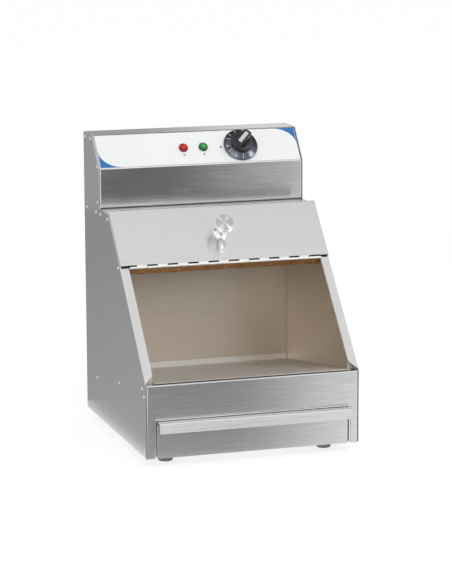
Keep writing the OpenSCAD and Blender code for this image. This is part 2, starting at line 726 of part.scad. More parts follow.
// Heater: a folded hood with a sheathed tube bent into a U, hung from the head floor
module heater_hood() {
    y = hood_y;
    z = hood_top;
    color("gainsboro") difference() {
        cabinet() centred(hood_len) polygon(folded([
            [y + hood_w / 2 + hood_flare, z - hood_h], [y + hood_w / 2, z],
            [y - hood_w / 2, z], [y - hood_w / 2 - hood_flare, z - hood_h]], 3, hood_t));
        heater_leads(3);
        standoff_places() translate([0, 0, -12]) cylinder(d = standoff_hole, h = 12);
    }
}
module standoff_places() {
    cabinet() for (x = [-1, 1]) translate([x * (hood_len / 2 - 14), hood_y, floor_under]) children();
}
module heater_standoffs() {
    color("gainsboro") standoff_places() {
        difference() {
            translate([0, 0, -hood_gap]) cylinder(d = standoff_d, h = hood_gap);
            translate([0, 0, -hood_gap - 1]) cylinder(d = standoff_hole - 0.1, h = hood_gap + 2);
        }
        translate([0, 0, -hood_gap - hood_t - standoff_nut]) {
            cylinder(d = standoff_hole - 0.3, h = hood_gap + hood_t + sheet + 2 * standoff_nut - 1);
            cylinder(d = standoff_d - 2, h = standoff_nut);
        }
        translate([0, 0, sheet + glue]) cylinder(d = standoff_d - 2, h = standoff_nut, $fn = 6);
    }
}
module heater_leads(gap) {
    cabinet() for (y = [-1, 1]) translate([-tube_x - tube_bend, hood_y + y * tube_gap / 2, tube_z])
        cylinder(d = tube_d + gap, h = 60);
}
module heater_tube() {
    rise = shelf_h + 6 - tube_z - tube_bend;
    color("dimgray") cabinet() translate([0, hood_y, tube_z]) {
        for (y = [-1, 1]) translate([0, y * tube_gap / 2, 0]) {
            translate([-tube_x, 0, 0]) rotate([0, 90, 0]) cylinder(d = tube_d, h = 2 * tube_x);
            translate([-tube_x - tube_bend, 0, tube_bend]) {
                cylinder(d = tube_d, h = rise);
                cylinder(d = 3, h = rise + 10);
            }
            translate([-tube_x, 0, tube_bend]) rotate([90, 0, 0])
                rotate([0, 0, 180]) rotate_extrude(angle = 90) translate([tube_bend, 0]) circle(d = tube_d);
        }
        translate([tube_x, 0, 0]) rotate([0, 0, -90])
            rotate_extrude(angle = 180) translate([tube_gap / 2, 0]) circle(d = tube_d);
    }
}
module heater_hangers() {
    color("gainsboro") cabinet() for (x = hanger_x) difference() {
        union() {
            across(x, sheet) polygon([[hood_y - hanger_w / 2, tube_z - hanger_drop],
                [hood_y - hanger_w / 2, hanger_top - (hanger_w - hanger_neck) * 0.75],
                [hood_y - hanger_neck / 2, hanger_top], [hood_y + hanger_neck / 2, hanger_top],
                [hood_y + hanger_w / 2, hanger_top - (hanger_w - hanger_neck) * 0.75],
                [hood_y + hanger_w / 2, tube_z - hanger_drop]]);
            translate([x, hood_y - hanger_neck / 2, hanger_top - sheet])
                cube([hanger_foot, hanger_neck, sheet]);
        }
        for (y = [-1, 1]) translate([x - 1, hood_y + y * tube_gap / 2, tube_z]) rotate([0, 90, 0])
            cylinder(d = tube_d + 0.4, h = sheet + 2);
    }
}

// Controls on the slanted face
module control_label() {
    w = 2 * (inner_x - fit - fold_r - 0.4);
    color("white") difference() {
        on_face() translate([-w / 2, 1.6, glue]) cube([w, face_len - 4, label_t - glue]);
        face_holes();
    }
}
module at_thermostat() { on_face() translate([dial_x, face_len / 2, label_t]) children(); }
module at_dial() { at_thermostat() rotate([0, 0, -dial_a]) children(); }
module dial_skirt() {
    r = dial_d / 2;
    color("slategray") at_dial() rotate_extrude($fn = 96) polygon([[3.2, 3.4], [12, 3.4], [r - 4, 1.6],
        [r - 2, dial_gap], [r - 0.6, dial_gap], [r, 1.2], [r, 2.6], [r - 0.8, 3.4],
        [grip_r, skirt_top], [3.2, skirt_top]]);
}
module dial_grip() {
    top = dial_h - label_t;
    half = bar_w / 2;
    color("#1c1c1e") at_dial() difference() {
        union() {
            rotate_extrude($fn = 72) polygon([[0, skirt_top], [grip_r, skirt_top],
                [grip_r, skirt_top + 1.5], [grip_r - 1.2, skirt_top + 5.5],
                [grip_r - 3, skirt_top + 6.5], [0, skirt_top + 6.5]]);
            intersection() {
                translate([0, 0, skirt_top]) cylinder(r1 = grip_r, r2 = grip_r - 0.4, h = top - skirt_top);
                translate([bar_off, grip_r + 3, 0]) rotate([90, 0, 0])
                    linear_extrude(2 * grip_r + 6) polygon([[-half - 1.4, skirt_top],
                        [half + 1.4, skirt_top], [half, top - 1.2], [half - 1.2, top],
                        [1.2 - half, top], [-half, top - 1.2]]);
            }
        }
        translate([0, 0, skirt_top - 1]) cylinder(d = shaft_d + fit, h = 11);
        translate([bar_off - (insert_w + fit) / 2, insert_y - (insert_len + fit) / 2, top - insert_deep])
            cube([insert_w + fit, insert_len + fit, 2]);
    }
}
module dial_insert() {
    color("gainsboro") at_dial()
        translate([bar_off - insert_w / 2, insert_y - insert_len / 2, dial_h - label_t - insert_deep])
            cube([insert_w, insert_len, insert_deep + 0.2]);
}
module thermostat_shaft() {
    color("gainsboro") at_dial() translate([0, 0, -16]) difference() {
        cylinder(d = shaft_d, h = 31);
        translate([1.6, -5, 16]) cube([5, 10, 20]);
    }
}
module thermostat_body() {
    back = sheet + label_t + fit;
    color("silver") at_thermostat() difference() {
        union() {
            translate([-17, -17, -back - 9]) cube([34, 34, 9]);
            translate([0, 0, -back - 24]) cylinder(d = 32, h = 15.5);
            for (x = [-10, 0, 10]) translate([x - 3, -21, -back - 20]) cube([6, 12, 0.8]);
        }
        translate([0, 0, -back - 15.2]) cylinder(d = shaft_d + 0.4, h = 20);
        for (x = [-14, 14]) translate([x, 0, -back - 7]) cylinder(d = 3.2, h = 10);
    }
}
module thermostat_screws() {
    color("gainsboro") at_thermostat() for (x = [-14, 14]) translate([x, 0, 0]) {
        translate([0, 0, -8]) cylinder(d = 3, h = 8);
        cylinder(d = 6, h = 1.2);
    }
}
// The thermostat's bulb lies along the top of the inner back, with its capillary going up
module bulb_lead(d) {
    cabinet() translate([bulb_x - bulb_bend - 5, bulb_y, floor_under - 4]) cylinder(d = d, h = 10);
}
module thermostat_bulb() {
    color("peru") cabinet() translate([bulb_x, bulb_y, bulb_z]) {
        rotate([0, 90, 0]) cylinder(d = bulb_d, h = bulb_len);
        translate([-5, 0, 0]) rotate([0, 90, 0]) cylinder(d = bulb_lead_d, h = 6);
        translate([-5, 0, bulb_bend]) rotate([90, 0, 0]) rotate([0, 0, 180])
            rotate_extrude(angle = 90) translate([bulb_bend, 0]) circle(d = bulb_lead_d);
        translate([-bulb_bend - 5, 0, bulb_bend]) cylinder(d = bulb_lead_d, h = 60 - bulb_bend);
        for (x = bulb_clips) translate([x - 1.5, 0, 0]) difference() {
            union() {
                rotate([0, 90, 0]) cylinder(d = bulb_d + 1.6, h = 3);
                translate([0, 0, -bulb_d / 2 - 0.8]) cube([3, back_y - bulb_y, bulb_d + 1.6]);
            }
            translate([-1, 0, 0]) rotate([0, 90, 0]) cylinder(d = bulb_d, h = 5);
        }
    }
}

// Pilot lamps
module lamp_lens(i, c) {
    color(c) on_face() translate([lamp_x[i], face_len / 2, label_t]) rotate_extrude() polygon(concat(
        [[0, 1.6], [lamp_d / 2 - 1.6, 1.6], [lamp_d / 2 - 1.6, 2.6]],
        [for (a = [10 : 16 : 90]) [(lamp_d / 2 - 2) * cos(a), 2.6 + 3.4 * sin(a)]]));
}
module lamp_body(i) {
    r = lamp_d / 2;
    color("#33363a") on_face() translate([lamp_x[i], face_len / 2, label_t]) {
        rotate_extrude() polygon([[0, 0], [r, 0], [r, 1.4], [r - 0.5, 2.4], [r - 1.4, 2.4],
            [r - 1.4, 1.6], [0, 1.6]]);
        translate([0, 0, -26]) cylinder(d = 10, h = 26.1);
        translate([0, 0, -label_t - sheet - 4]) cylinder(d = 14, h = 4 - fit, $fn = 6);
        for (x = [-2.4, 2.4]) translate([x - 0.4, -1.6, -33]) cube([0.8, 3.2, 8]);
    }
}

module terminal_block() {
    block = [46, 22, 10];
    pitch = 14;
    color("ivory") cabinet() translate([-50, body_d - block[1] - 12, shelf_h]) difference() {
        union() {
            cube(block);
            for (i = [0 : 2]) translate([3 + i * pitch, 3, block[2] - 1]) cube([pitch - 2, block[1] - 6, 8]);
        }
        for (i = [0 : 2]) translate([pitch / 2 + 2 + i * pitch, 0, block[2] + 1.5]) {
            translate([0, -1, 0]) rotate([-90, 0, 0]) cylinder(d = 5, h = block[1] + 2);
            for (y = [7, 15]) translate([0, y, 1.5]) cylinder(d = 3.6, h = 6);
        }
    }
}

// Gland through the back panel for the supply lead
module at_gland() {
    cabinet() translate([gland_x, body_d + back_t, gland_z]) rotate([-90, 0, 0]) children();
}
module cable_gland() {
    color("#222222") at_gland() difference() {
        union() {
            translate([0, 0, -gland_in]) cylinder(d = gland_d, h = gland_in + 2);
            cylinder(d = gland_hex, h = 4.5, $fn = 6);
            translate([0, 0, 4.5]) cylinder(d = gland_d, h = 1.5);
            rotate_extrude() polygon([[0, 6], [11.5, 6], [11.5, 12], [9, gland_reach], [0, gland_reach]]);
        }
        translate([0, 0, -gland_in - 1]) cylinder(d = gland_bore, h = gland_reach + gland_in + 2);
    }
}
module gland_nut() {
    color("#222222") at_gland() translate([0, 0, -back_t - gland_nut_t]) difference() {
        cylinder(d = gland_hex, h = gland_nut_t, $fn = 6);
        translate([0, 0, -1]) cylinder(d = gland_d + fit, h = gland_nut_t + 2);
    }
}

side_panel("left");  // side_panel_left
side_panel("right");  // side_panel_right
front_panel();
base_plate();
back_panel();
head_cover();
head_floor();
cross_rail();
hinge_leaf();
hinge_pin();
hinge_rivets();
hatch();
hatch_knob();
hatch_knob_screw();
inner_wall("left");  // inner_wall_left
inner_wall("right");  // inner_wall_right
inner_back();
tray_rail("left");  // tray_rail_left
tray_rail("right");  // tray_rail_right
perforated_tray();
drawer_front();
drawer_pan();
drawer_runner("left");  // drawer_runner_left
drawer_runner("right");  // drawer_runner_right
foot("front_left");  // foot_front_left
foot("front_right");  // foot_front_right
foot("rear_left");  // foot_rear_left
foot("rear_right");  // foot_rear_right
foot_screws();
heater_hood();
heater_standoffs();
heater_tube();
heater_hangers();
control_label();
dial_skirt();
dial_grip();
dial_insert();
thermostat_shaft();
thermostat_body();
thermostat_screws();
thermostat_bulb();
lamp_lens(0, "red");  // red_lamp_lens
lamp_body(0);  // red_lamp_body
lamp_lens(1, "limegreen");  // green_lamp_lens
lamp_body(1);  // green_lamp_body
terminal_block();
cable_gland();
gland_nut();
side_rivet_set("left");  // rivets_left
side_rivet_set("right");  // rivets_right
back_screws();
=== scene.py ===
"""Counter-top chip warmer: finishes, fine pieces and stage, on the frame of its solids."""
import math

import bmesh
import bpy
from bpy.props import FloatProperty, FloatVectorProperty, IntProperty, PointerProperty
from mathutils import Matrix, Vector


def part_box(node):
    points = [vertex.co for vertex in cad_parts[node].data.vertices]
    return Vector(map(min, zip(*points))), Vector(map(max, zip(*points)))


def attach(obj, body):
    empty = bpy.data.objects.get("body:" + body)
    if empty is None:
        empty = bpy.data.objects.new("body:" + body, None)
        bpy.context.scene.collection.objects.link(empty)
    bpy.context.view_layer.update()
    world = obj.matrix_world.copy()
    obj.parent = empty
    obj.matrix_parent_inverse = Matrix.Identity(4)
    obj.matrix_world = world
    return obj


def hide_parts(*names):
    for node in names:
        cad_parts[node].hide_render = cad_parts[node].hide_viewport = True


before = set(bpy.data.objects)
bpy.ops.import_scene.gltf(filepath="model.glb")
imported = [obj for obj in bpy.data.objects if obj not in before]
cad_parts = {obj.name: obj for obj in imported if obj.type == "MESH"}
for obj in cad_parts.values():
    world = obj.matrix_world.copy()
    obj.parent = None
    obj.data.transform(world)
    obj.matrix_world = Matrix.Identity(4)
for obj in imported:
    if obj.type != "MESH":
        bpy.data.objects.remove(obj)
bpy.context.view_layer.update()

bl_info = {
    "name": "Chip warmer",
    "version": (1, 0, 0),
    "blender": (4, 5, 0),
    "location": "3D View > Sidebar > Chip warmer",
    "description": "Dresses the solids of a counter-top chip warmer and builds its fine pieces",
    "category": "Object",
}

MM = 0.001

# Frames of the cabinet's two slanted faces: X to the right, Y up the face and Z out of it. The
# slope's foot is this far in front of the middle and this high, in millimetres
SLOPE_ANGLE = math.radians(48)
SLOPE_DEPTH, SLOPE_HEIGHT = 173.6, 125.5
SLOPE = (Matrix.Translation((0, -SLOPE_DEPTH * MM, SLOPE_HEIGHT * MM))
         @ Matrix.Rotation(SLOPE_ANGLE, 4, "X"))
# The control face rises by 48 mm while it goes back by 37 mm
FACE = Matrix.Translation((0, 0.0799, 0.407)) @ Matrix.Rotation(math.atan2(48, 37), 4, "X")
FACE_MIDDLE = 30.3025
# The film's thickness, and that of the ink on it
FILM_TOP = 0.5
INK = (0, 0, 0.06)


def on_film(x, y):
    """A place on the control film, in millimetres from the middle of the face's lower edge."""
    return FACE @ Matrix.Translation((x * MM, y * MM, FILM_TOP * MM))


# Where the lamps sit, from the middle to the right
RED_X, GREEN_X = -24.5, 7.5

# Frames of the turned and turning pieces, with Z along their axis
HINGE = Matrix.Translation((0, -0.043364, 0.273728)) @ Matrix.Rotation(math.radians(90), 4, "Y")
KNOB = SLOPE @ Matrix.Translation((0, 247.925 * MM, 4.5 * MM))
DIAL = on_film(68.2, FACE_MIDDLE) @ Matrix.Rotation(math.radians(-44), 4, "Z")
GLAND = Matrix.Translation((0.130, 0.1726, 0.385)) @ Matrix.Rotation(math.radians(-90), 4, "X")

# Radius of the dial's hub, and the height at which it sits on the skirt
HUB, SEAT = 16.5, 6.4

# Sheets by the way that their brush lines run
SHEETS_ACROSS = ["front_panel", "back_panel", "base_plate", "head_floor", "cross_rail",
                 "drawer_front"]
SHEETS_UPRIGHT = ["side_panel_left", "side_panel_right"]
LOOSE_SHEETS = ["perforated_tray", "drawer_pan"]
WELL_ALONG = ["inner_wall_left", "inner_wall_right", "tray_rail_left", "tray_rail_right",
              "drawer_runner_left", "drawer_runner_right"]


def colour(code):
    """An sRGB hex value as linear red, green and blue."""
    parts = [int(code[i:i + 2], 16) / 255 for i in (1, 3, 5)]
    return tuple(p / 12.92 if p <= 0.04045 else ((p + 0.055) / 1.055) ** 2.4 for p in parts)


def colour_choice(name, description, code):
    return FloatVectorProperty(name=name, description=description, default=colour(code), size=3,
                               min=0, max=1, subtype="COLOR")


def length_choice(name, description, millimetres, low, high):
    return FloatProperty(name=name, description=description, default=millimetres * MM,
                         min=low * MM, max=high * MM, unit="LENGTH", subtype="DISTANCE")


class ChipWarmerSizes(bpy.types.PropertyGroup):
    """Sizes of the fine pieces that a user would change"""
    knob_steps: IntProperty(name="Knob steps", description="Sides of the turned knob", default=72,
                            min=24, max=160)
    mark_width: length_choice("Scale mark", "Width of a line of the dial's scale", 0.65, 0.3, 2)
    grip_edge: length_choice("Grip edge", "Rounding of the dial grip's edges", 0.55, 0.1, 1)
    corner_reach: length_choice("Corner reach", "Width of the coloured corners", 35.5, 10, 60)
    corner_rise: length_choice("Corner rise", "Height of the coloured corners", 29, 10, 40)
    symbol_size: length_choice("Lamp symbol", "Height of the symbols below the lamps", 4.2, 1.5, 5)
    foot_groove: length_choice("Foot groove", "Depth of the groove round a foot", 0.5, 0.1, 1)
    gland_ribs: IntProperty(name="Gland ribs", description="Grip ribs on the gland's dome nut",
                            default=16, min=6, max=32)
    brush_line: length_choice("Brush line", "Width that the brush lines are drawn at", 1.4, 0.5, 5)


class ChipWarmerColours(bpy.types.PropertyGroup):
    """Colours of the finishes that a user would change"""
    stainless: colour_choice("Stainless", "Brushed stainless sheet", "#D3D3D3")
    well: colour_choice("Well", "Stainless sheet in the chip well, tinted by hot fat", "#D2C6B8")
    tray: colour_choice("Tray", "Stainless sheet of the tray and the drawer's pan", "#D0CCC6")
    # Painted light: the hinge colour is a painted highlight on the knuckles, and the leaf's straw
    # tint below it is a painted reflection of the chips
    hinge: colour_choice("Hinge", "Bright rolled stainless strip", "#F1EFEC")
    painted_leaf_reflection: colour_choice("Stain", "Straw tint of the hinge leaf where fat reaches it", "#DDAA78")
    rivet: colour_choice("Rivets", "Satin rivet heads", "#F4F4F3")
    knob: colour_choice("Knob", "Polished turned steel", "#F0F0EF")
    # The knob face's colour is the knob's steel painted darker, a painted shade on its top
    faced: colour_choice("Knob face", "Satin faced top of the knob", "#C6C6C6")
    zinc: colour_choice("Zinc", "Zinc plate on screws and shaft", "#C9CCCF")
    hood: colour_choice("Hood", "Aluminised sheet of the heater hood", "#C3C4C2")
    sheath: colour_choice("Sheath", "Heat-tinted sheath of the heating tube", "#5E5450")
    film: colour_choice("Film", "Printed film of the control face", "#F1F2F4")
    corner: colour_choice("Corner", "Coloured corners of the film", "#1C70B8")
    symbol: colour_choice("Symbols", "Ink of the symbols and the index dot", "#2C2C30")
    skirt: colour_choice("Skirt", "Dyed aluminium skirt of the dial", "#5A5C64")
    scale: colour_choice("Scale", "Ink of the dial's scale", "#E9EAEE")
    grip: colour_choice("Grip", "Black moulding of the dial and the gland", "#1D1D1F")
    insert: colour_choice("Insert", "Light insert of the dial's grip", "#C8C4C1")
    rubber: colour_choice("Rubber", "Rubber of the feet", "#A0A0A2")
    red: colour_choice("Red lens", "Red pilot lamp", "#D41A14")
    green: colour_choice("Green lens", "Green pilot lamp", "#1F9E48")
    red_body: colour_choice("Red body", "Body of the red lamp", "#8C100E")
    green_body: colour_choice("Green body", "Body of the green lamp", "#0C5C28")
    copper: colour_choice("Copper", "Thermostat bulb", "#C98A63")
    ceramic: colour_choice("Ceramic", "Glazed terminal block", "#ECE8DC")


# Modelling by hand


def clear_selection():
    """Object mode with nothing selected, because an operator acts on all that is selected."""
    if bpy.context.mode != "OBJECT":
        bpy.ops.object.mode_set(mode="OBJECT")
    bpy.ops.object.select_all(action="DESELECT")


def take(piece):
    """Makes one piece the only selected one."""
    clear_selection()
    piece.select_set(True)
    bpy.context.view_layer.objects.active = piece


def open_mesh(piece):
    take(piece)
    bpy.ops.object.mode_set(mode="EDIT")


def pick_faces(piece, wanted):
    """In edit mode, selects the faces that wanted says yes to."""
    bpy.ops.mesh.select_mode(type="FACE")
    bpy.ops.mesh.select_all(action="DESELECT")
    for face in bmesh.from_edit_mesh(piece.data).faces:
        if wanted(face):
            face.select_set(True)
    bmesh.update_edit_mesh(piece.data)


def started(piece, name):
    piece.name = name
    piece.data.name = name
    return piece


def chain(name, points):
    """A chain of edges through points in millimetres, drawn by extruding one vertex."""
    clear_selection()
    bpy.ops.mesh.primitive_plane_add(size=MM, location=(0, 0, 0))
    piece = started(bpy.context.active_object, name)
    bpy.ops.object.mode_set(mode="EDIT")
    bpy.ops.mesh.select_mode(type="VERT")
    bpy.ops.mesh.select_all(action="SELECT")
    bpy.ops.mesh.merge(type="CENTER")
    points = [Vector(p).to_3d() * MM for p in points]
    bpy.ops.transform.translate(value=points[0])
    for here, there in zip(points, points[1:]):
        bpy.ops.mesh.extrude_region_move(TRANSFORM_OT_translate={"value": there - here})
    bpy.ops.mesh.select_all(action="SELECT")
    return piece


def rectangle(left, low, right, high, height=0):
    """Corners of a level rectangle."""
    return [(left, low, height), (right, low, height), (right, high, height), (left, high, height)]


def arc(x, y, radius, start, step, count):
    """Points round a centre, at angles that start and step in degrees."""
    angles = [math.radians(start + step * i) for i in range(count)]
    return [(x + radius * math.cos(a), y + radius * math.sin(a)) for a in angles]


def settle_mesh():
    """Merges doubles, then turns every face outwards."""
    bpy.ops.mesh.select_all(action="SELECT")
    bpy.ops.mesh.remove_doubles(threshold=0.004 * MM)
    bpy.ops.mesh.normals_make_consistent(inside=False)
    bpy.ops.object.mode_set(mode="OBJECT")


def turned(name, profile, steps, ring=False):
    """A profile of radius and height, spun round Z; a ring's profile closes on itself."""
    points = [(r, 0, z) for r, z in profile]
    piece = chain(name, points + points[:1] if ring else points)
    bpy.ops.mesh.spin(steps=steps, angle=math.tau, center=(0, 0, 0), axis=(0, 0, 1))
    settle_mesh()
    return piece


def plate(name, points, rise):
    """A closed outline of points, filled and extruded by rise, all in millimetres."""
    piece = chain(name, points + points[:1])
    bpy.ops.mesh.remove_doubles(threshold=0.004 * MM)
    bpy.ops.mesh.select_all(action="SELECT")
    bpy.ops.mesh.edge_face_add()
    bpy.ops.mesh.extrude_region_move(TRANSFORM_OT_translate={"value": Vector(rise) * MM})
    settle_mesh()
    return piece


def modify(piece, kind, **settings):
    """Adds a modifier and applies it."""
    take(piece)
    modifier = piece.modifiers.new(kind.title(), kind)
    for name, value in settings.items():
        setattr(modifier, name, value)
    bpy.ops.object.modifier_apply(modifier=modifier.name)


def soften(piece, width, segments=2, angle=32):
    """Rounds the sharp edges by a width in metres."""
    modify(piece, "BEVEL", width=width, segments=segments, limit_method="ANGLE",
           angle_limit=math.radians(angle), use_clamp_overlap=True, harden_normals=False)


def combine(piece, other, how):
    """Joins, cuts or intersects a piece with another, which is then thrown away."""
    modify(piece, "BOOLEAN", operation=how, solver="EXACT", object=other)
    bpy.data.objects.remove(other, do_unlink=True)


def smooth(piece, angle=32):
    take(piece)
    bpy.ops.object.shade_smooth_by_angle(angle=math.radians(angle))


def place(piece, matrix):
    """Moves the mesh to its place and leaves its object at the origin."""
    take(piece)
    piece.matrix_world = matrix
    bpy.ops.object.transform_apply(location=True, rotation=True, scale=True)


def copied(piece, name, matrix):
    """A copy with its own mesh, moved by a matrix."""
    take(piece)
    bpy.ops.object.duplicate(linked=False)
    twin = started(bpy.context.active_object, name)
    place(twin, matrix)
    return twin


def joined(pieces, name):
    """Several pieces as one mesh."""
    take(pieces[0])
    for piece in pieces[1:]:
        piece.select_set(True)
    bpy.ops.object.join()
    return started(bpy.context.active_object, name)


def fit(piece, body, slot, material, *replaced):
    """Gives a finished piece its material and its body, and hides the nodes that it stands for."""
    piece.data.materials.clear()
    piece.data.materials.append(material)
    if replaced:
        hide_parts(*replaced)
    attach(piece, body)


def dress(names, material):
    """Gives solids that keep their shape a better material."""
    for name in names:
        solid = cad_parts[name]
        if not solid.material_slots:
            solid.data.materials.append(material)
        for held in solid.material_slots:
            held.material = material


# Finishes


def add(tree, kind, inputs=None, **settings):
    """Adds a shader node with its settings, and with values or other nodes' sockets as inputs."""
    made = tree.nodes.new("ShaderNode" + kind)
    for name, value in settings.items():
        setattr(made, name, value)
    for name, value in (inputs or {}).items():
        if isinstance(value, bpy.types.NodeSocket):
            tree.links.new(value, made.inputs[name])
        else:
            made.inputs[name].default_value = value
    return made


def emptied(holder):
    """The node tree of a new material or world, with nothing in it yet."""
    holder.use_nodes = True
    holder.node_tree.nodes.clear()
    return holder.node_tree


def begin(name, **values):
    """A new material with a shader, whose values that are the same all over are set here."""
    material = bpy.data.materials.new(name)
    tree = emptied(material)
    shader = add(tree, "BsdfPrincipled", {k.replace("_", " "): v for k, v in values.items()})
    add(tree, "OutputMaterial", {"Surface": shader.outputs["BSDF"]})
    return material, tree, shader


def opaque(rgb, factor=1.0):
    return tuple(min(1.0, c * factor) for c in rgb) + (1.0,)


def speckle(tree, grain, detail, rough=0.5):
    """Noise on Object coordinates. Its grain is in millimetres: one size, or one each along X, Y
    and Z."""
    sizes = grain if isinstance(grain, tuple) else (grain, grain, grain)
    coords = add(tree, "TexCoord")
    where = add(tree, "Mapping", {"Vector": coords.outputs["Object"],
                                  "Scale": [1 / (size * MM) for size in sizes]})
    noise = add(tree, "TexNoise", {"Vector": where.outputs["Vector"], "Scale": 1.0,
                                   "Detail": detail, "Roughness": rough})
    return noise.outputs["Fac"]


def mottled(tree, pattern, first, second, between=(0.3, 0.7)):
    """A colour that goes from the first to the second as a pattern does between two values."""
    amount = add(tree, "MapRange", {"Value": pattern, "From Min": between[0],
                                    "From Max": between[1]})
    mixed = add(tree, "Mix", {0: amount.outputs["Result"], 6: first, 7: second}, data_type="RGBA")
    return mixed.outputs[2]


def surface(tree, shader, tint, pattern, low, high, relief=None, between=(0.3, 0.7), smudge=None):
    """Gives a shader its colour, and a roughness that goes from low to high as a pattern does
    between two values, with smudges on top. A relief is a pattern, a strength and a height in
    millimetres."""
    grain = add(tree, "MapRange", {"Value": pattern, "From Min": between[0], "From Max": between[1],
                                   "To Min": low, "To Max": high})
    dull = grain.outputs["Result"]
    if smudge:
        dull = add(tree, "Math", {0: dull, 1: smudge}, operation="ADD").outputs["Value"]
    tree.links.new(tint, shader.inputs["Base Color"])
    tree.links.new(dull, shader.inputs["Roughness"])
    if relief:
        height, strength, rise = relief
        bump = add(tree, "Bump", {"Height": height, "Strength": strength, "Distance": rise * MM})
        tree.links.new(bump.outputs["Normal"], shader.inputs["Normal"])


def off_axis(tree, matrix):
    """For the Z axis of a matrix: the vector axis x arm, and the distance from the axis."""
    axis = (matrix.to_3x3() @ Vector((0, 0, 1))).normalized()
    coords = add(tree, "TexCoord")
    arm = add(tree, "VectorMath", {0: coords.outputs["Object"], 1: matrix.translation},
              operation="SUBTRACT")
    round_it = add(tree, "VectorMath", {0: axis, 1: arm.outputs["Vector"]},
                   operation="CROSS_PRODUCT").outputs["Vector"]
    length = add(tree, "VectorMath", {0: round_it}, operation="LENGTH")
    return round_it, length.outputs["Value"]


def brushed_sheet(name, rgb, along, line, rough, contrast, smudge, knuckle_highlight=None):
    """Stainless sheet with a belt-ground grain. Mirror-like across the light, it smears what it
    reflects at right angles to its fine lines and shows them as pale and dark streaks. The last
    argument, if given, is a painted highlight: a near-white colour painted on the sheet rolled
    round the hinge pin, which keeps its mill gloss."""
    material, tree, shader = begin(name, Metallic=1.0, Anisotropic=0.9, Anisotropic_Rotation=0.25)
    # The real lines are about 0.1 mm wide; they are drawn wider, as far as they show from here
    length = 62.5
    sizes = tuple(length if axis == along else line / MM for axis in "XYZ")
    streaks = speckle(tree, sizes, 4.0, 0.6)
    tint = mottled(tree, streaks, opaque(rgb, 1 - contrast), opaque(rgb, 1 + contrast))
    # Handling leaves broad patches that are a little duller and warmer
    patches = speckle(tree, (200, 142.86, 142.86), 3.0, 0.55)
    worn = mottled(tree, patches, (0.97, 0.968, 0.965, 1.0), (1.0, 1.0, 1.0, 1.0))
    shown = add(tree, "Mix", {0: 1.0, 6: tint, 7: worn}, data_type="RGBA", blend_type="MULTIPLY")
    shown = shown.outputs[2]
    if knuckle_highlight:
        # The painted highlight on the rolled knuckle ends between 3.4 and 3.8 mm from the pin's
        # middle
        reach = off_axis(tree, HINGE)[1]
        shown = mottled(tree, reach, opaque(knuckle_highlight), shown, (3.4 * MM, 3.8 * MM))
    spots = add(tree, "MapRange", {"Value": patches, "From Min": 0.3, "From Max": 0.7,
                                   "To Min": -smudge, "To Max": smudge})
    surface(tree, shader, shown, streaks, rough - 0.006, rough + 0.008, (streaks, 0.12, 0.03),
            smudge=spots.outputs["Result"])
    if along == "Z":
        lines = add(tree, "CombineXYZ", {"Z": 1.0})
    else:
        # Level lines on any face: upwards x the face's normal, and along X on a level face
        face = add(tree, "NewGeometry")
        lines = add(tree, "VectorMath", {0: (0.0, 0.0, 1.0), 1: face.outputs["Normal"]},
                    operation="CROSS_PRODUCT")
        lines = add(tree, "VectorMath", {0: lines.outputs["Vector"], 1: (0.1, 0.0, 0.0)},
                    operation="ADD")
    tree.links.new(lines.outputs["Vector"], shader.inputs["Tangent"])
    return material


def turned_steel(name, rgb, matrix, rough, strength, anisotropy):
    """Metal off a lathe. Its fine rings throw a bow of light and dark across each flat."""
    material, tree, shader = begin(name, Metallic=1.0, Anisotropic=anisotropy,
                                   Anisotropic_Rotation=0.25)
    round_it, radius = off_axis(tree, matrix)
    grain = add(tree, "VectorTransform", {"Vector": round_it}, vector_type="VECTOR",
                convert_from="OBJECT", convert_to="WORLD")
    tree.links.new(grain.outputs["Vector"], shader.inputs["Tangent"])
    # The tool's rings are about 0.1 mm apart on the real one, drawn wider so that they show
    ring = 0.9 * MM
    turns = add(tree, "Math", {0: radius, 1: math.tau / ring}, operation="MULTIPLY")
    wave = add(tree, "Math", {0: turns.outputs["Value"]}, operation="SINE")
    flecks = speckle(tree, 3.8462, 3.0)
    tint = mottled(tree, flecks, opaque(rgb, 0.95), opaque(rgb, 1.03))
    surface(tree, shader, tint, flecks, rough - 0.02, rough + 0.03,
            (wave.outputs["Value"], strength, 0.02))
    return material


def hinge_strip_painted_light(name, rgb, painted_leaf_reflection, matrix, rough, highlight_to, reflection_from):
    """Rolled hinge strip: a painted highlight makes its knuckles near-white, and a painted
    reflection of the chips tints its leaf orange, between two distances from the pin in
    millimetres."""
    material, tree, shader = begin(name, Metallic=1.0)
    reach = off_axis(tree, matrix)[1]
    between = (highlight_to * MM, reflection_from * MM)
    spots = speckle(tree, (16.667, 4.5455, 4.5455), 4.0, 0.6)
    painted_chip_reflection = mottled(tree, spots, opaque(painted_leaf_reflection, 0.6), opaque(painted_leaf_reflection, 1.25))
    tint = mottled(tree, reach, opaque(rgb), painted_chip_reflection, between)
    surface(tree, shader, tint, reach, rough, rough + 0.25, (spots, 0.15, 0.02), between)
    return material


def plain_metal(name, rgb, rough, grain, contrast):
    """Rolled or plated metal without a brushed grain, slightly mottled where it was handled."""
    material, tree, shader = begin(name, Metallic=1.0)
    spots = speckle(tree, grain, 4.0, 0.6)
    tint = mottled(tree, spots, opaque(rgb, 1 - contrast), opaque(rgb, 1 + contrast))
    surface(tree, shader, tint, spots, rough - 0.05, rough + 0.05, (spots, 0.15, 0.02))
    return material


def heat_tinted(name, rgb):
    """Sheath of a heating tube: oxide colours, from straw to blue-brown, over a dull metal."""
    material, tree, shader = begin(name, Metallic=1.0)
    bands = speckle(tree, (45.455, 16.667, 16.667), 3.0, 0.6)
    tint = mottled(tree, bands, opaque(rgb, 0.72), opaque(colour("#8A7462")))
    surface(tree, shader, tint, bands, 0.42, 0.56, (speckle(tree, 1.1111, 3.0), 0.2, 0.04))
    return material


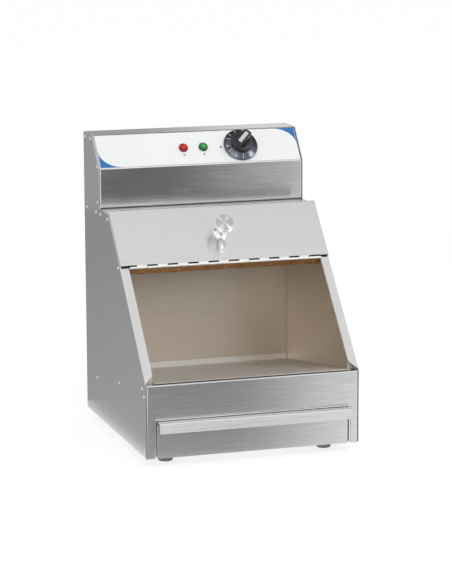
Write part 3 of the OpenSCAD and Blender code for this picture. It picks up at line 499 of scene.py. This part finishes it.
def moulded(name, rgb, rough, ior, grain, strength, contrast=0.06):
    """Plastic or rubber out of a mould: a fine even texture that breaks the gloss."""
    material, tree, shader = begin(name, IOR=ior)
    pits = speckle(tree, grain, 3.0, 0.6)
    broad = speckle(tree, 14.286, 2.0)
    tint = mottled(tree, broad, opaque(rgb, 1 - contrast), opaque(rgb, 1 + contrast))
    surface(tree, shader, tint, pits, rough - 0.05, rough + 0.06, (pits, strength, 0.05))
    return material


def printed_film(name, rgb):
    """Polyester film glued on metal: an even satin white with a faint orange peel."""
    material, tree, shader = begin(name, IOR=1.57, Coat_Weight=0.15, Coat_Roughness=0.2)
    peel = speckle(tree, 3.125, 2.0)
    tint = mottled(tree, speckle(tree, 83.333, 2.0), opaque(rgb, 0.985), opaque(rgb, 1.01))
    surface(tree, shader, tint, peel, 0.31, 0.37, (peel, 0.06, 0.04))
    return material


def screen_ink(name, rgb):
    """Screen-printed ink: a thin matt layer, a little thinner here and there."""
    material, tree, shader = begin(name, IOR=1.5)
    thin = speckle(tree, 2.0, 3.0)
    tint = mottled(tree, thin, opaque(rgb, 0.95), opaque(rgb, 1.05))
    surface(tree, shader, tint, thin, 0.36, 0.45)
    return material


def lamp_lens(name, rgb, matrix):
    """Coloured polycarbonate under a sharp gloss. Its colour is painted brighter in the middle, a
    painted glow for the light of a reflector behind it, and darker towards the thick rim."""
    material, tree, shader = begin(name, IOR=1.586, Specular_IOR_Level=0.3, Coat_Weight=0.15,
                                   Coat_Roughness=0.04)
    cells = speckle(tree, 2.381, 1.0)
    deep = mottled(tree, cells, opaque(rgb, 0.5), opaque(rgb, 0.7))
    radius = off_axis(tree, matrix)[1]
    # Painted glow: 1.5 times the lens colour at the middle, down to the darker rim colour 5 mm out
    tint = mottled(tree, radius, opaque(rgb, 1.5), deep, (0.5 * MM, 5 * MM))
    surface(tree, shader, tint, cells, 0.1, 0.18, (cells, 0.3, 0.1))
    return material


def glazed(name, rgb):
    """Steatite under a clear glaze, with a few specks in the body."""
    material, tree, shader = begin(name, IOR=1.54, Coat_Weight=0.6, Coat_Roughness=0.08)
    specks = speckle(tree, 4.1667, 4.0, 0.7)
    tint = mottled(tree, specks, opaque(rgb), opaque(rgb, 0.8), (0.55, 0.75))
    surface(tree, shader, tint, specks, 0.25, 0.35)
    return material


# The stage


def seen_by(tree, rays, *kinds):
    """One for rays of these kinds, and nought for all others."""
    seen, *others = [rays.outputs["Is " + kind + " Ray"] for kind in kinds]
    for other in others:
        seen = add(tree, "Math", {0: seen, 1: other}, operation="MAXIMUM").outputs["Value"]
    return seen


def white_ground(name, light, daylight):
    """A pale floor that takes a shadow, topped up to white for the camera and for reflections."""
    material = bpy.data.materials.new(name)
    tree = emptied(material)
    rays = add(tree, "LightPath")
    seen = seen_by(tree, rays, "Camera", "Glossy", "Transmission")
    topped = add(tree, "Math", {0: seen, 1: light}, operation="MULTIPLY")
    glow = add(tree, "Emission", {"Color": (1, 1, 1, 1), "Strength": topped.outputs["Value"]})
    paper = add(tree, "BsdfDiffuse", {"Color": (daylight, daylight, daylight, 1)})
    both = add(tree, "AddShader", {0: glow.outputs["Emission"], 1: paper.outputs["BSDF"]})
    add(tree, "OutputMaterial", {"Surface": both.outputs["Shader"]})
    return material


def reflected_card(name, corners, dark, light, rise, depth, sides=None):
    """A card that only reflections show, as studio paper stands round an object to shade its metal.
    It goes from dark to light between two places across the way that the camera's view takes after
    a mirror at this depth; dark and light each have a near and a far tone. Well to both sides of
    that way it has the tone given for the sides, for the folded edges to catch."""
    card = chain(name, [Vector(corner) / MM for corner in corners + corners[:1]])
    bpy.ops.mesh.remove_doubles(threshold=MM)
    bpy.ops.mesh.select_all(action="SELECT")
    bpy.ops.mesh.edge_face_add()
    bpy.ops.object.mode_set(mode="OBJECT")
    near, far = 0.15, 1.6
    inside, outside = 0.24, 0.55
    # The view moves this far to the right for each metre that it goes on
    drift = 0.316
    material = bpy.data.materials.new(name)
    tree = emptied(material)
    coords = add(tree, "TexCoord")
    here = add(tree, "SeparateXYZ", {"Vector": coords.outputs["Object"]})
    away = add(tree, "Math", {0: here.outputs["Y"], 1: depth}, operation="SUBTRACT")
    away = add(tree, "Math", {0: away.outputs["Value"]}, operation="ABSOLUTE").outputs["Value"]
    across = add(tree, "Math", {0: away, 1: -drift, 2: here.outputs["X"]}, operation="MULTIPLY_ADD")
    across = across.outputs["Value"]
    ends = [add(tree, "MapRange", {"Value": away, "From Min": near, "From Max": far,
                                   "To Min": tones[0], "To Max": tones[1]}).outputs["Result"]
            for tones in (dark, light)]
    tone = add(tree, "MapRange", {"Value": across, "From Min": rise[0], "From Max": rise[1],
                                  "To Min": ends[0], "To Max": ends[1]},
               interpolation_type="SMOOTHSTEP").outputs["Result"]
    if sides:
        aside = add(tree, "Math", {0: across}, operation="ABSOLUTE")
        tone = add(tree, "MapRange", {"Value": aside.outputs["Value"], "From Min": inside,
                                      "From Max": outside, "To Min": tone, "To Max": sides},
                   interpolation_type="SMOOTHSTEP").outputs["Result"]
    glow = add(tree, "Emission", {"Color": (1, 1, 1, 1), "Strength": tone})
    add(tree, "OutputMaterial", {"Surface": glow.outputs["Emission"]})
    card.data.materials.append(material)
    for rays in ("camera", "diffuse", "transmission", "volume_scatter", "shadow"):
        setattr(card, "visible_" + rays, False)


def upright(left, low, right, high, depth):
    """Corners of an upright card that faces the front."""
    return [(left, depth, low), (right, depth, low), (right, depth, high), (left, depth, high)]


def softbox(name, location, target, width, height, radiance, mirrored=True):
    """An area lamp that shines at a point, shown in reflections or not."""
    clear_selection()
    bpy.ops.object.light_add(type="AREA", location=location)
    lamp = bpy.context.active_object
    lamp.name = name
    lamp.rotation_euler = (Vector(target) - Vector(location)).to_track_quat("-Z", "Y").to_euler()
    lamp.data.shape = "RECTANGLE"
    lamp.data.size = width
    lamp.data.size_y = height
    lamp.data.energy = math.pi * width * height * radiance
    lamp.visible_glossy = mirrored


class CHIPWARMER_OT_stage(bpy.types.Operator):
    """Camera, pale floor, soft studio lamps and the light of the room"""
    bl_idname = "chip_warmer.stage"
    bl_label = "Stage"

    def execute(self, context):
        self.camera(context.scene)
        clear_selection()
        bpy.ops.mesh.primitive_plane_add(size=60, location=(0, 0, 0))
        floor = started(context.active_object, "floor")
        floor.data.materials.append(white_ground("Floor paper", 0.76, 0.30))
        self.cards()
        softbox("lamp_overhead", (0.45, -0.65, 2.6), (0.1, -0.1, 0.2), 2.6, 2.6, 0.2, False)
        softbox("lamp_key", (-1.9, -1.6, 2.2), (0, 0, 0.3), 1.2, 1.2, 1.0, False)
        # These two also show in reflections: as bright bows on turned metal and glints on mouldings
        softbox("lamp_right", (1.69, -1.45, 1.74), (0.07, 0.1, 0.43), 0.5, 0.5, 14.0)
        softbox("lamp_front", (-0.3, -1.98, 1.90), (0.07, 0.1, 0.43), 1.1, 1.1, 2.4)
        self.room(context.scene)
        context.scene.view_settings.view_transform = "Standard"
        return {"FINISHED"}

    def camera(self, scene):
        """The camera that the photo was taken with, fitted to the cabinet's corners."""
        focal, photo_height, sensor = 2372.688, 584, 36
        right = Vector((0.95312016, -0.30256523, -0.00402968))
        up = Vector((0.06052155, 0.17756889, 0.98224561))
        ahead = Vector((0.29647782, 0.93644197, -0.18755621))
        stand = Matrix((right, up, -ahead)).transposed().to_4x4()
        stand.translation = Vector((-1.0625677, -3.3966544, 0.9003569))
        clear_selection()
        bpy.ops.object.camera_add()
        camera = bpy.context.active_object
        camera.name = "camera"
        camera.matrix_world = stand
        camera.data.sensor_fit = "AUTO"
        camera.data.sensor_width = sensor
        camera.data.lens = focal * sensor / photo_height
        camera.data.clip_end = 100
        camera.data.dof.use_dof = False
        scene.camera = camera

    def cards(self):
        """Grey and white papers that the metal mirrors, level on the floor or upright."""
        slope_front = -0.17
        reflected_card("front_paper", rectangle(-4.5, -0.2, 3.5, -5.2, 0.004), (0.42, 0.05),
                       (1.12, 0.43), (-0.045, 0.215), slope_front, 1.25)
        reflected_card("dark_wall", upright(-4.5, 0, 4.5, 1.15, -5.2), (0.05, 0.05), (0.5, 0.5),
                       (0, 0.6), slope_front)
        reflected_card("lit_wall", upright(-4.5, 1.15, 4.5, 3.0, -5.2), (1.9, 1.9), (1.65, 1.65),
                       (-0.1, 0.2), slope_front)
        reflected_card("side_paper", rectangle(-4.5, 5.0, -0.19, -0.19, 0.005), (0.46, 0.36),
                       (0.46, 0.36), (5, 6), 0.0)
        # The right side and the back get the same grey, which the photo doesn't show
        reflected_card("rear_paper", [(x, y, 0.006) for x, y in (
            (0.19, -0.19), (4.5, -0.19), (4.5, 5.0), (-0.19, 5.0), (-0.19, 0.25), (0.19, 0.25))],
                       (0.5, 0.42), (0.5, 0.42), (5, 6), 0.0)
        reflected_card("back_paper", upright(-1.6, 0.2, 1.6, 1.2, 1.0), (0.43, 0.43), (0.9, 0.9),
                       (-0.13, 0.14), 0.14)
        # The dark of the room above the dial, out of the way of what the hatch reflects
        reflected_card("dark_above", [(x, y, 0.8) for x, y in (
            (-0.25, 0.03), (0.0, 0.03), (0.3, 0.0), (0.42, -0.06), (0.8, -0.06), (0.8, 0.4),
            (-0.25, 0.4))], (0.25, 0.25), (0.25, 0.25), (0, 1), 0.0)

    def room(self, scene):
        """White for the camera, a soft light on the object, and its own level in reflections."""
        lit, mirrored = 0.77, 0.26
        scene.world = bpy.data.worlds.new("Studio")
        tree = emptied(scene.world)
        rays = add(tree, "LightPath")
        seen = seen_by(tree, rays, "Camera", "Transmission")
        strength = add(tree, "MapRange", {"Value": seen, "To Min": lit, "To Max": 1.0})
        strength = add(tree, "Math", {0: rays.outputs["Is Glossy Ray"], 1: mirrored,
                                      2: strength.outputs["Result"]}, operation="MULTIPLY_ADD")
        sky = add(tree, "Background", {"Color": (1, 1, 1, 1),
                                       "Strength": strength.outputs["Value"]})
        add(tree, "OutputWorld", {"Surface": sky.outputs["Background"]})


class CHIPWARMER_OT_sheets(bpy.types.Operator):
    """Brushed stainless on the cabinet, the hatch, the drawer and the well, and its fixings"""
    bl_idname = "chip_warmer.sheets"
    bl_label = "Sheet metal"

    def execute(self, context):
        tones = context.scene.chip_warmer_colours
        line = context.scene.chip_warmer_sizes.brush_line
        steel, well = tones.stainless, tones.well
        for names, title, rgb, along, rough, contrast, smudge, knuckle_highlight in (
                (SHEETS_ACROSS, "Stainless brushed across", steel, "X", 0.21, 0.1, 0.01, None),
                # The head's cover is finished a little finer, so it mirrors more sharply
                (["head_cover"], "Head stainless", steel, "X", 0.175, 0.1, 0.01, None),
                # The hatch's rolled knuckles take the hinge colour as a painted highlight
                (["hatch"], "Hatch stainless", steel, "X", 0.21, 0.03, 0.01, tones.hinge),
                (SHEETS_UPRIGHT, "Stainless brushed upright", steel, "Z", 0.21, 0.04, 0.01, None),
                (["inner_back"], "Well stainless across", well, "X", 0.4, 0.06, 0.03, None),
                (LOOSE_SHEETS, "Tray stainless", tones.tray, "X", 0.34, 0.05, 0.02, None),
                (WELL_ALONG, "Well stainless along", well, "Y", 0.4, 0.06, 0.03, None)):
            dress(names, brushed_sheet(title, rgb, along, line, rough, contrast, smudge, knuckle_highlight))
        # Rivet heads are tumbled bright and catch the light as small white dots
        dress(["rivets_left", "rivets_right"],
              plain_metal("Satin rivet", tones.rivet, 0.5, 1.1111, 0.05))
        # Zinc plate is a cool, slightly cloudy mirror
        dress(["hatch_knob_screw", "foot_screws", "back_screws", "thermostat_screws",
               "thermostat_shaft"], plain_metal("Zinc plate", tones.zinc, 0.28, 2.5, 0.08))
        return {"FINISHED"}


class CHIPWARMER_OT_hem(bpy.types.Operator):
    """Rounded hem along the top and the sides of the drawer's mouth"""
    bl_idname = "chip_warmer.hem"
    bl_label = "Mouth hem"

    def execute(self, context):
        # The rivets' near-white colour serves the hem as a painted highlight
        rivet = context.scene.chip_warmer_colours.rivet
        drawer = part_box("drawer_front")[1]
        beside, above = 2.55, 2.1
        half = drawer[0] / MM + beside
        top = drawer[2] / MM + above
        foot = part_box("front_panel")[0][2] / MM + 0.1
        # The fold's section: its depth, and how far it comes in over the gap round the drawer. It
        # leaves the drawer 0.7 mm on top and 1.2 mm at its sides
        face, thick, reach = -172.5, 1.05, 1.4
        fold = [(face - thick, 0), (face, 0), (face, reach - 0.2), (face - 0.3, reach),
                (face - 0.75, reach), (face - thick, reach - 0.2)]
        hem = plate("mouth_hem", [(-half, y, top - inward) for y, inward in fold], (2 * half, 0, 0))
        for side in (-1, 1):
            leg = plate("leg", [(side * (half - inward), y, foot) for y, inward in fold],
                        (0, 0, top - foot))
            combine(hem, leg, "UNION")
        soften(hem, 0.12 * MM)
        smooth(hem, 50)
        # The fold takes a near-white colour, lighter than the sheet it is folded from, as a painted
        # highlight along the fold; it has no brush lines along its edge
        edge = plain_metal("Folded stainless with painted highlight", rivet, 0.45, 4.5455, 0.04)
        fit(hem, "cabinet", "stainless", edge)
        return {"FINISHED"}


class CHIPWARMER_OT_cheeks(bpy.types.Operator):
    """Front corners of the inner walls, between the well and the slope's flanges"""
    bl_idname = "chip_warmer.cheeks"
    bl_label = "Wall cheeks"

    def execute(self, context):
        well = context.scene.chip_warmer_colours.well
        line = context.scene.chip_warmer_sizes.brush_line
        steel = brushed_sheet("Cheek stainless", well, "Y", line, 0.4, 0.06, 0.03)
        # Where the cheeks stand, and the slope's flange with a little clearance below it
        wall, flange = 151, 1.3
        wall_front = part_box("inner_wall_right")[0][1] / MM
        outer, panel_back, panel_top = [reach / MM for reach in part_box("front_panel")[1]]
        front, low = panel_back + 0.1, panel_top - 2

        def below_slope(depth):
            """Height of the slope flange's underside at a depth from the middle."""
            run = depth + SLOPE_DEPTH - flange / math.sin(SLOPE_ANGLE)
            return SLOPE_HEIGHT + run * math.tan(SLOPE_ANGLE)

        outline = [(wall, wall_front, low), (wall, wall_front, below_slope(wall_front)),
                   (wall, front, below_slope(front)), (wall, front, low)]
        right = plate("wall_cheek_right", outline, (1, 0, 0))
        # A tab turned outwards closes the corner between the front panel and the slope
        outline = [(wall, front, low), (outer, front, low), (outer, front, below_slope(front)),
                   (wall, front, below_slope(front))]
        combine(right, plate("tab", outline, (0, 1, 0)), "UNION")
        left = copied(right, "wall_cheek_left", Matrix.Scale(-1, 4, (1, 0, 0)))
        for cheek in (right, left):
            open_mesh(cheek)
            settle_mesh()
            smooth(cheek)
            fit(cheek, "cabinet", "stainless", steel)
        return {"FINISHED"}


class CHIPWARMER_OT_hinge(bpy.types.Operator):
    """Piano hinge, with a painted highlight on its knuckles and a painted reflection on its leaf"""
    bl_idname = "chip_warmer.hinge"
    bl_label = "Hinge"

    def execute(self, context):
        # Rolled strip keeps its mill gloss; its knuckles are near-white as a painted highlight, and
        # its leaf orange as a painted reflection of the chips
        tones = context.scene.chip_warmer_colours
        dress(["hinge_leaf", "hinge_pin", "hinge_rivets"],
              hinge_strip_painted_light("Rolled hinge strip", tones.hinge, tones.painted_leaf_reflection, HINGE, 0.3, 3.6, 6.0))
        return {"FINISHED"}


class CHIPWARMER_OT_knob(bpy.types.Operator):
    """Turned knob of the hatch"""
    bl_idname = "chip_warmer.knob"
    bl_label = "Hatch knob"

    def execute(self, context):
        tones = context.scene.chip_warmer_colours
        bore, base, disc, rim = 2.6, 10.5, 15, 0.9
        profile = [(0, 12), (bore, 12), (bore, 0), (base - 0.5, 0), (base, 0.5), (base, 2.0),
                   (10.1, 2.6), (9.0, 3.4), (7.6, 4.1), (6.4, 5.0), (5.5, 6.2), (5.0, 7.8),
                   (4.7, 9.8), (4.6, 12), (4.6, 15), (4.8, 17.6), (5.3, 19.5), (6.2, 21.0),
                   (7.6, 22.2), (9.6, 23.1), (12.0, 23.8), (13.8, 24.4), (14.7, 25.0),
                   (disc, 25.9), (disc, 28.7)]
        profile += arc(disc - rim, 30.0, rim, 0, 15, 7)
        profile += [(13.2, 31.05), (10.6, 31.2), (7.8, 31.33), (5.2, 31.42), (2.6, 31.48),
                    (0, 31.5)]
        knob = turned("knob", profile, context.scene.chip_warmer_sizes.knob_steps)
        smooth(knob, 28)
        place(knob, KNOB)
        fit(knob, "hatch", "polished_steel",
            turned_steel("Polished turned steel", tones.knob, KNOB, 0.16, 0.08, 0.6), "hatch_knob")
        # Its face, a shallow dome, is left satin by the facing tool; its colour is painted darker
        # than the sides' steel, a painted shade
        knob.data.materials.append(turned_steel("Faced steel with painted shade", tones.faced, KNOB, 0.4, 0.08, 0.95))
        back = KNOB.inverted()
        for face in knob.data.polygons:
            middle = back @ face.center
            if middle.z > 30.85 * MM and middle.xy.length < 14.2 * MM:
                face.material_index = 1
        return {"FINISHED"}


class CHIPWARMER_OT_feet(bpy.types.Operator):
    """Four rubber feet"""
    bl_idname = "chip_warmer.feet"
    bl_label = "Feet"

    def execute(self, context):
        groove = context.scene.chip_warmer_sizes.foot_groove / MM
        rgb = context.scene.chip_warmer_colours.rubber
        # Rubber is matt, and dusty with its bloom
        rubber = moulded("Moulded rubber", rgb, 0.45, 1.52, 0.90909, 0.35, 0.12)
        bore, recess, out = 2.7, 4.6, 11
        profile = [(bore, 15.2), (bore, 6), (recess, 6), (recess, 0.6), (5.2, 0), (9, 0), (10, 0.3),
                   (10.7, 0.9), (out, 2), (out, 5.6), (out - groove, 6), (out - groove, 6.8),
                   (out, 7.2), (out, 14.6), (10.5, 15.2)]
        first = turned("foot", profile, 40, ring=True)
        smooth(first, 38)
        for end, y in (("front", -132.6), ("rear", 130.4)):
            for side, x in (("left", -124), ("right", 124)):
                seat = Matrix.Translation((x * MM, y * MM, 0))
                foot = copied(first, "rubber_foot_" + end + "_" + side, seat)
                fit(foot, "cabinet", "rubber", rubber, "foot_" + end + "_" + side)
        bpy.data.objects.remove(first, do_unlink=True)
        return {"FINISHED"}


class CHIPWARMER_OT_heater(bpy.types.Operator):
    """Heater, terminal block and thermostat inside the head and the well"""
    bl_idname = "chip_warmer.heater"
    bl_label = "Heater and thermostat"

    def execute(self, context):
        tones = context.scene.chip_warmer_colours
        # Aluminised sheet is a bright, faintly spangled grey
        dress(["heater_hood", "heater_standoffs", "heater_hangers"],
              plain_metal("Aluminised sheet", tones.hood, 0.3, 7.6923, 0.06))
        dress(["heater_tube"], heat_tinted("Heat tinted sheath", tones.sheath))
        dress(["thermostat_body"], plain_metal("Plated housing", tones.zinc, 0.34, 3.3333, 0.05))
        # Drawn copper, a little dulled by handling
        dress(["thermostat_bulb"], plain_metal("Drawn copper", tones.copper, 0.33, 3.8462, 0.1))
        dress(["terminal_block"], glazed("Glazed steatite", tones.ceramic))
        return {"FINISHED"}


class CHIPWARMER_OT_film(bpy.types.Operator):
    """Film of the control face, with its coloured corners, index dot and lamp symbols"""
    bl_idname = "chip_warmer.film"
    bl_label = "Control film"

    def execute(self, context):
        tones = context.scene.chip_warmer_colours
        sizes = context.scene.chip_warmer_sizes
        dress(["control_label"], printed_film("White satin film", tones.film))
        # The film's edges on the control face
        left, right, low, high = -161.0, 161.0, 1.6, 58.2
        wide, tall = sizes.corner_reach / MM, sizes.corner_rise / MM
        # Concave triangles in two corners of the film, drawn by a quarter ellipse and the corner
        steps = [math.radians(7.5 * i) for i in range(13)]
        quarter = [(wide * (1 - math.cos(a)), tall * (1 - math.sin(a))) for a in steps]
        foot = [(left + x, low + y) for x, y in quarter] + [(left, low)]
        head = [(right - x, high - y) for x, y in quarter] + [(right, high)]
        corners = joined([plate("corner", foot, INK), plate("corner", head, INK)], "film_corners")
        place(corners, on_film(0, 0))
        fit(corners, "cabinet", "label", screen_ink("Corner ink", tones.corner))
        self.symbols(tones, sizes.symbol_size / MM)
        return {"FINISHED"}

    def symbols(self, tones, size):
        """A ring with a stroke below one lamp, a thermometer below the other, and the dot."""
        r = size / 2
        y = 18.0
        line = 0.7
        x = RED_X
        ring = arc(x, y, r, 130, 20, 15) + arc(x, y, r - line, 130, 20, 15)[::-1]
        ink = [plate("mark", ring, INK),
               plate("mark", rectangle(x - line / 2, y, x + line / 2, y + r), INK)]
        x = GREEN_X - 0.5
        glass = arc(x, y - r + 1, 1, 60, -25, 13)
        glass += [(x - line * 0.7, y + r), (x + line * 0.7, y + r)]
        ink.append(plate("mark", glass, INK))
        for i in range(3):
            low = y - 0.4 + 0.9 * i
            ink.append(plate("mark", rectangle(x + 1.3, low, x + 2.8, low + 0.4), INK))
        ink.append(plate("mark", arc(36.2, 29.2, 1.6, 0, 22.5, 16), INK))
        marks = joined(ink, "film_symbols")
        place(marks, on_film(0, 0))
        fit(marks, "cabinet", "label", screen_ink("Grey symbol ink", tones.symbol))


class CHIPWARMER_OT_lamps(bpy.types.Operator):
    """Red and green pilot lamps"""
    bl_idname = "chip_warmer.lamps"
    bl_label = "Pilot lamps"

    def execute(self, context):
        tones = context.scene.chip_warmer_colours
        # Each lens steps up in three shallow rings below a plain crown
        profile = [(0, 1.6), (5.65, 1.6), (5.65, 2.5), (5.2, 2.9), (4.9, 3.6), (4.5, 3.7),
                   (4.1, 4.4), (3.6, 4.5), (3.2, 5.1), (2.7, 5.2), (1.8, 5.7), (0.9, 5.93),
                   (0, 6.0)]
        for name, x, rgb, body in (("red", RED_X, tones.red, tones.red_body),
                                   ("green", GREEN_X, tones.green, tones.green_body)):
            lens = turned(name + "_lens", profile, 40)
            smooth(lens, 24)
            seat = on_film(x, FACE_MIDDLE)
            place(lens, seat)
            clear = lamp_lens(name.title() + " polycarbonate", rgb, seat)
            fit(lens, "cabinet", name + "_lens", clear, name + "_lamp_lens")
            # Moulded nylon of the lens's colour is deep and has a dull, fine-grained gloss
            nylon = moulded(name.title() + " nylon", body, 0.4, 1.53, 1.4286, 0.2)
            dress([name + "_lamp_body"], nylon)
        return {"FINISHED"}


class CHIPWARMER_OT_dial(bpy.types.Operator):
    """Dial: dyed aluminium skirt with its scale, black grip and light insert"""
    bl_idname = "chip_warmer.dial"
    bl_label = "Dial"

    def execute(self, context):
        tones = context.scene.chip_warmer_colours
        sizes = context.scene.chip_warmer_sizes
        self.skirt(tones)
        self.scale(tones, sizes.mark_width / MM / 2)
        self.grip(tones, sizes.grip_edge)
        insert = plate("insert", self.insert_outline(0), (0, 0, 1.2))
        soften(insert, 0.3 * MM)
        smooth(insert)
        place(insert, DIAL)
        # The insert is a plain light moulding with a soft gloss
        satin = moulded("Light satin insert", tones.insert, 0.34, 1.5, 1.6667, 0.12)
        fit(insert, "dial", "insert", satin, "dial_insert")
        return {"FINISHED"}

    def insert_outline(self, play):
        """The insert's outline, or with some play that of its pocket in the grip."""
        return rectangle(-4.7 - play, -10.15 - play, 1.5 + play, 12.35 + play, 22.5)

    def skirt(self, tones):
        profile = [(3.2, 3.4), (12, 3.4), (23, 1.6), (25, 0.6), (26.3, 0.6), (26.8, 0.8), (27, 1.3),
                   (27, 2.5), (26.75, 3.1), (26.2, 3.4), (HUB, SEAT), (3.2, SEAT)]
        skirt = turned("skirt", profile, 96, ring=True)
        smooth(skirt, 30)
        place(skirt, DIAL)
        fit(skirt, "dial", "skirt_metal",
            turned_steel("Spun dyed aluminium", tones.skirt, DIAL, 0.25, 0.1, 0.85), "dial_skirt")

    def scale(self, tones, half):
        """Printed lines on the cone: their angle clockwise from the grip's pointer, and radii."""
        slant = (SEAT - 3.4) / (26.2 - HUB)
        ink = (0, 0.02, 0.06)

        def on_cone(points):
            return [(p[0], p[1], SEAT - (p[1] - HUB) * slant) for p in points]

        lines = []
        for angle, near, far in ((108, 21, 25.6), (137, 17.5, 25.8), (168, 21, 25.6),
                                 (198, 18, 25.8), (254, 18, 25.8), (275, 21, 25.6),
                                 (302, 21, 25.8)):
            line = plate("line", on_cone(rectangle(-half, near, half, far)), ink)
            place(line, Matrix.Rotation(math.radians(-angle), 4, "Z"))
            lines.append(line)
        # A small ring marks the rest position
        outer = arc(0, 22.6, 1.7, 0, 30, 12)
        inner = arc(0, 22.6, 1.0, 0, 30, 12)
        for i in range(12):
            j = (i + 1) % 12
            piece = plate("arc", on_cone([outer[i], outer[j], inner[j], inner[i]]), ink)
            place(piece, Matrix.Rotation(math.radians(-220), 4, "Z"))
            lines.append(piece)
        scale = joined(lines, "dial_scale")
        place(scale, DIAL)
        fit(scale, "dial", "skirt_metal", screen_ink("White scale ink", tones.scale))

    def grip(self, tones, edge):
        bar = plate("bar", [(-9.2, 20, SEAT), (6.0, 20, SEAT), (4.6, 20, 22.3), (3.4, 20, 23.5),
                            (-6.6, 20, 23.5), (-7.8, 20, 22.3)], (0, -40, 0))
        clear_selection()
        bpy.ops.mesh.primitive_cone_add(vertices=72, radius1=HUB * MM, radius2=16.1 * MM,
                                        depth=18 * MM, location=(0, 0, 15.4 * MM))
        combine(bar, bpy.context.active_object, "INTERSECT")
        hub = turned("grip", [(0, SEAT), (HUB, SEAT), (HUB, 7.9), (16.2, 9.4), (15.3, 11.4),
                              (14.6, 12.2), (13.5, 12.9), (0, 12.9)], 72)
        combine(hub, bar, "UNION")
        clear_selection()
        bpy.ops.mesh.primitive_cylinder_add(vertices=32, radius=3.1 * MM, depth=11 * MM,
                                            location=(0, 0, 10.9 * MM))
        combine(hub, bpy.context.active_object, "DIFFERENCE")
        combine(hub, plate("pocket", self.insert_outline(0.1), (0, 0, 2)), "DIFFERENCE")
        soften(hub, edge, 3, 38)
        smooth(hub, 34)
        place(hub, DIAL)
        # Phenolic is hard and deep black, with a gloss that a fine texture breaks
        phenolic = moulded("Black phenolic", tones.grip, 0.4, 1.56, 1.1111, 0.2)
        fit(hub, "dial", "black_plastic", phenolic, "dial_grip")


class CHIPWARMER_OT_gland(bpy.types.Operator):
    """Cable gland and its nut"""
    bl_idname = "chip_warmer.gland"
    bl_label = "Cable gland"

    def execute(self, context):
        ribs = context.scene.chip_warmer_sizes.gland_ribs
        black = context.scene.chip_warmer_colours.grip
        # Gland nylon is black and a little duller than phenolic
        nylon = moulded("Black nylon", black, 0.46, 1.53, 1.25, 0.25)
        bore, root, crest, pitch = 4.25, 9.3, 10, 1.5
        # Hexagon: a six-sided ring with its corners taken off, as on a moulded nut
        hexagon = turned("gland", [(bore, 0), (12.9, 0), (13.4, 0.7), (13.4, 3.9), (12.9, 4.5),
                                   (bore, 4.5)], 6, ring=True)
        thread = [(bore, -12), (root, -12)]
        for i in range(8):
            thread += [(crest, -11.4 + pitch * i), (root, -10.7 + pitch * i)]
        thread += [(root, 0.3), (bore, 0.3)]
        barrel = turned("barrel", thread, 32, ring=True)
        dome = turned("dome", [(bore, 4.3), (10, 4.3), (10, 6), (11, 6), (11, 12), (10.6, 13.4),
                               (9.6, 16.2), (9, 17.9), (8.2, 18.6), (6.2, 18.6), (5.4, 17.6),
                               (bore, 17.2)], 2 * ribs, ring=True)

        def is_rib(face):
            """Every second strip of the dome's wall."""
            middle = face.calc_center_median()
            strip = round(math.atan2(middle.y, middle.x) / math.tau * 2 * ribs - 0.5)
            return 6.5 * MM < middle.z < 11.5 * MM and middle.xy.length > 10 * MM and strip % 2 == 0

        open_mesh(dome)
        pick_faces(dome, is_rib)
        bpy.ops.mesh.inset(thickness=0.25 * MM, depth=0.0, use_individual=True)
        bpy.ops.transform.resize(value=(1.04, 1.04, 1.0))
        bpy.ops.object.mode_set(mode="OBJECT")
        gland = joined([hexagon, barrel, dome], "supply_gland")
        smooth(gland, 30)
        place(gland, GLAND)
        fit(gland, "cabinet", "black_plastic", nylon, "cable_gland")
        dress(["gland_nut"], nylon)
        return {"FINISHED"}


OPERATORS = (CHIPWARMER_OT_stage, CHIPWARMER_OT_sheets, CHIPWARMER_OT_hem, CHIPWARMER_OT_cheeks,
             CHIPWARMER_OT_hinge, CHIPWARMER_OT_knob, CHIPWARMER_OT_feet, CHIPWARMER_OT_heater,
             CHIPWARMER_OT_film, CHIPWARMER_OT_lamps, CHIPWARMER_OT_dial, CHIPWARMER_OT_gland)


class CHIPWARMER_PT_panel(bpy.types.Panel):
    """Lists the steps and their sizes and colours"""
    bl_idname = "CHIPWARMER_PT_panel"
    bl_label = "Chip warmer"
    bl_space_type = "VIEW_3D"
    bl_region_type = "UI"
    bl_category = "Chip warmer"

    def draw(self, context):
        layout = self.layout
        for step in OPERATORS:
            layout.operator(step.bl_idname)
        for group in (context.scene.chip_warmer_sizes, context.scene.chip_warmer_colours):
            box = layout.box()
            for name in type(group).__annotations__:
                box.prop(group, name)


CLASSES = (ChipWarmerSizes, ChipWarmerColours) + OPERATORS + (CHIPWARMER_PT_panel,)


def register():
    for made in CLASSES:
        bpy.utils.register_class(made)
    bpy.types.Scene.chip_warmer_sizes = PointerProperty(type=ChipWarmerSizes)
    bpy.types.Scene.chip_warmer_colours = PointerProperty(type=ChipWarmerColours)


def unregister():
    del bpy.types.Scene.chip_warmer_colours
    del bpy.types.Scene.chip_warmer_sizes
    for made in reversed(CLASSES):
        bpy.utils.unregister_class(made)


def main():
    register()
    bpy.ops.chip_warmer.stage()
    bpy.ops.chip_warmer.sheets()
    bpy.ops.chip_warmer.hem()
    bpy.ops.chip_warmer.cheeks()
    bpy.ops.chip_warmer.hinge()
    bpy.ops.chip_warmer.knob()
    bpy.ops.chip_warmer.feet()
    bpy.ops.chip_warmer.heater()
    bpy.ops.chip_warmer.film()
    bpy.ops.chip_warmer.lamps()
    bpy.ops.chip_warmer.dial()
    bpy.ops.chip_warmer.gland()
    clear_selection()


if __name__ == "__main__":
    main()
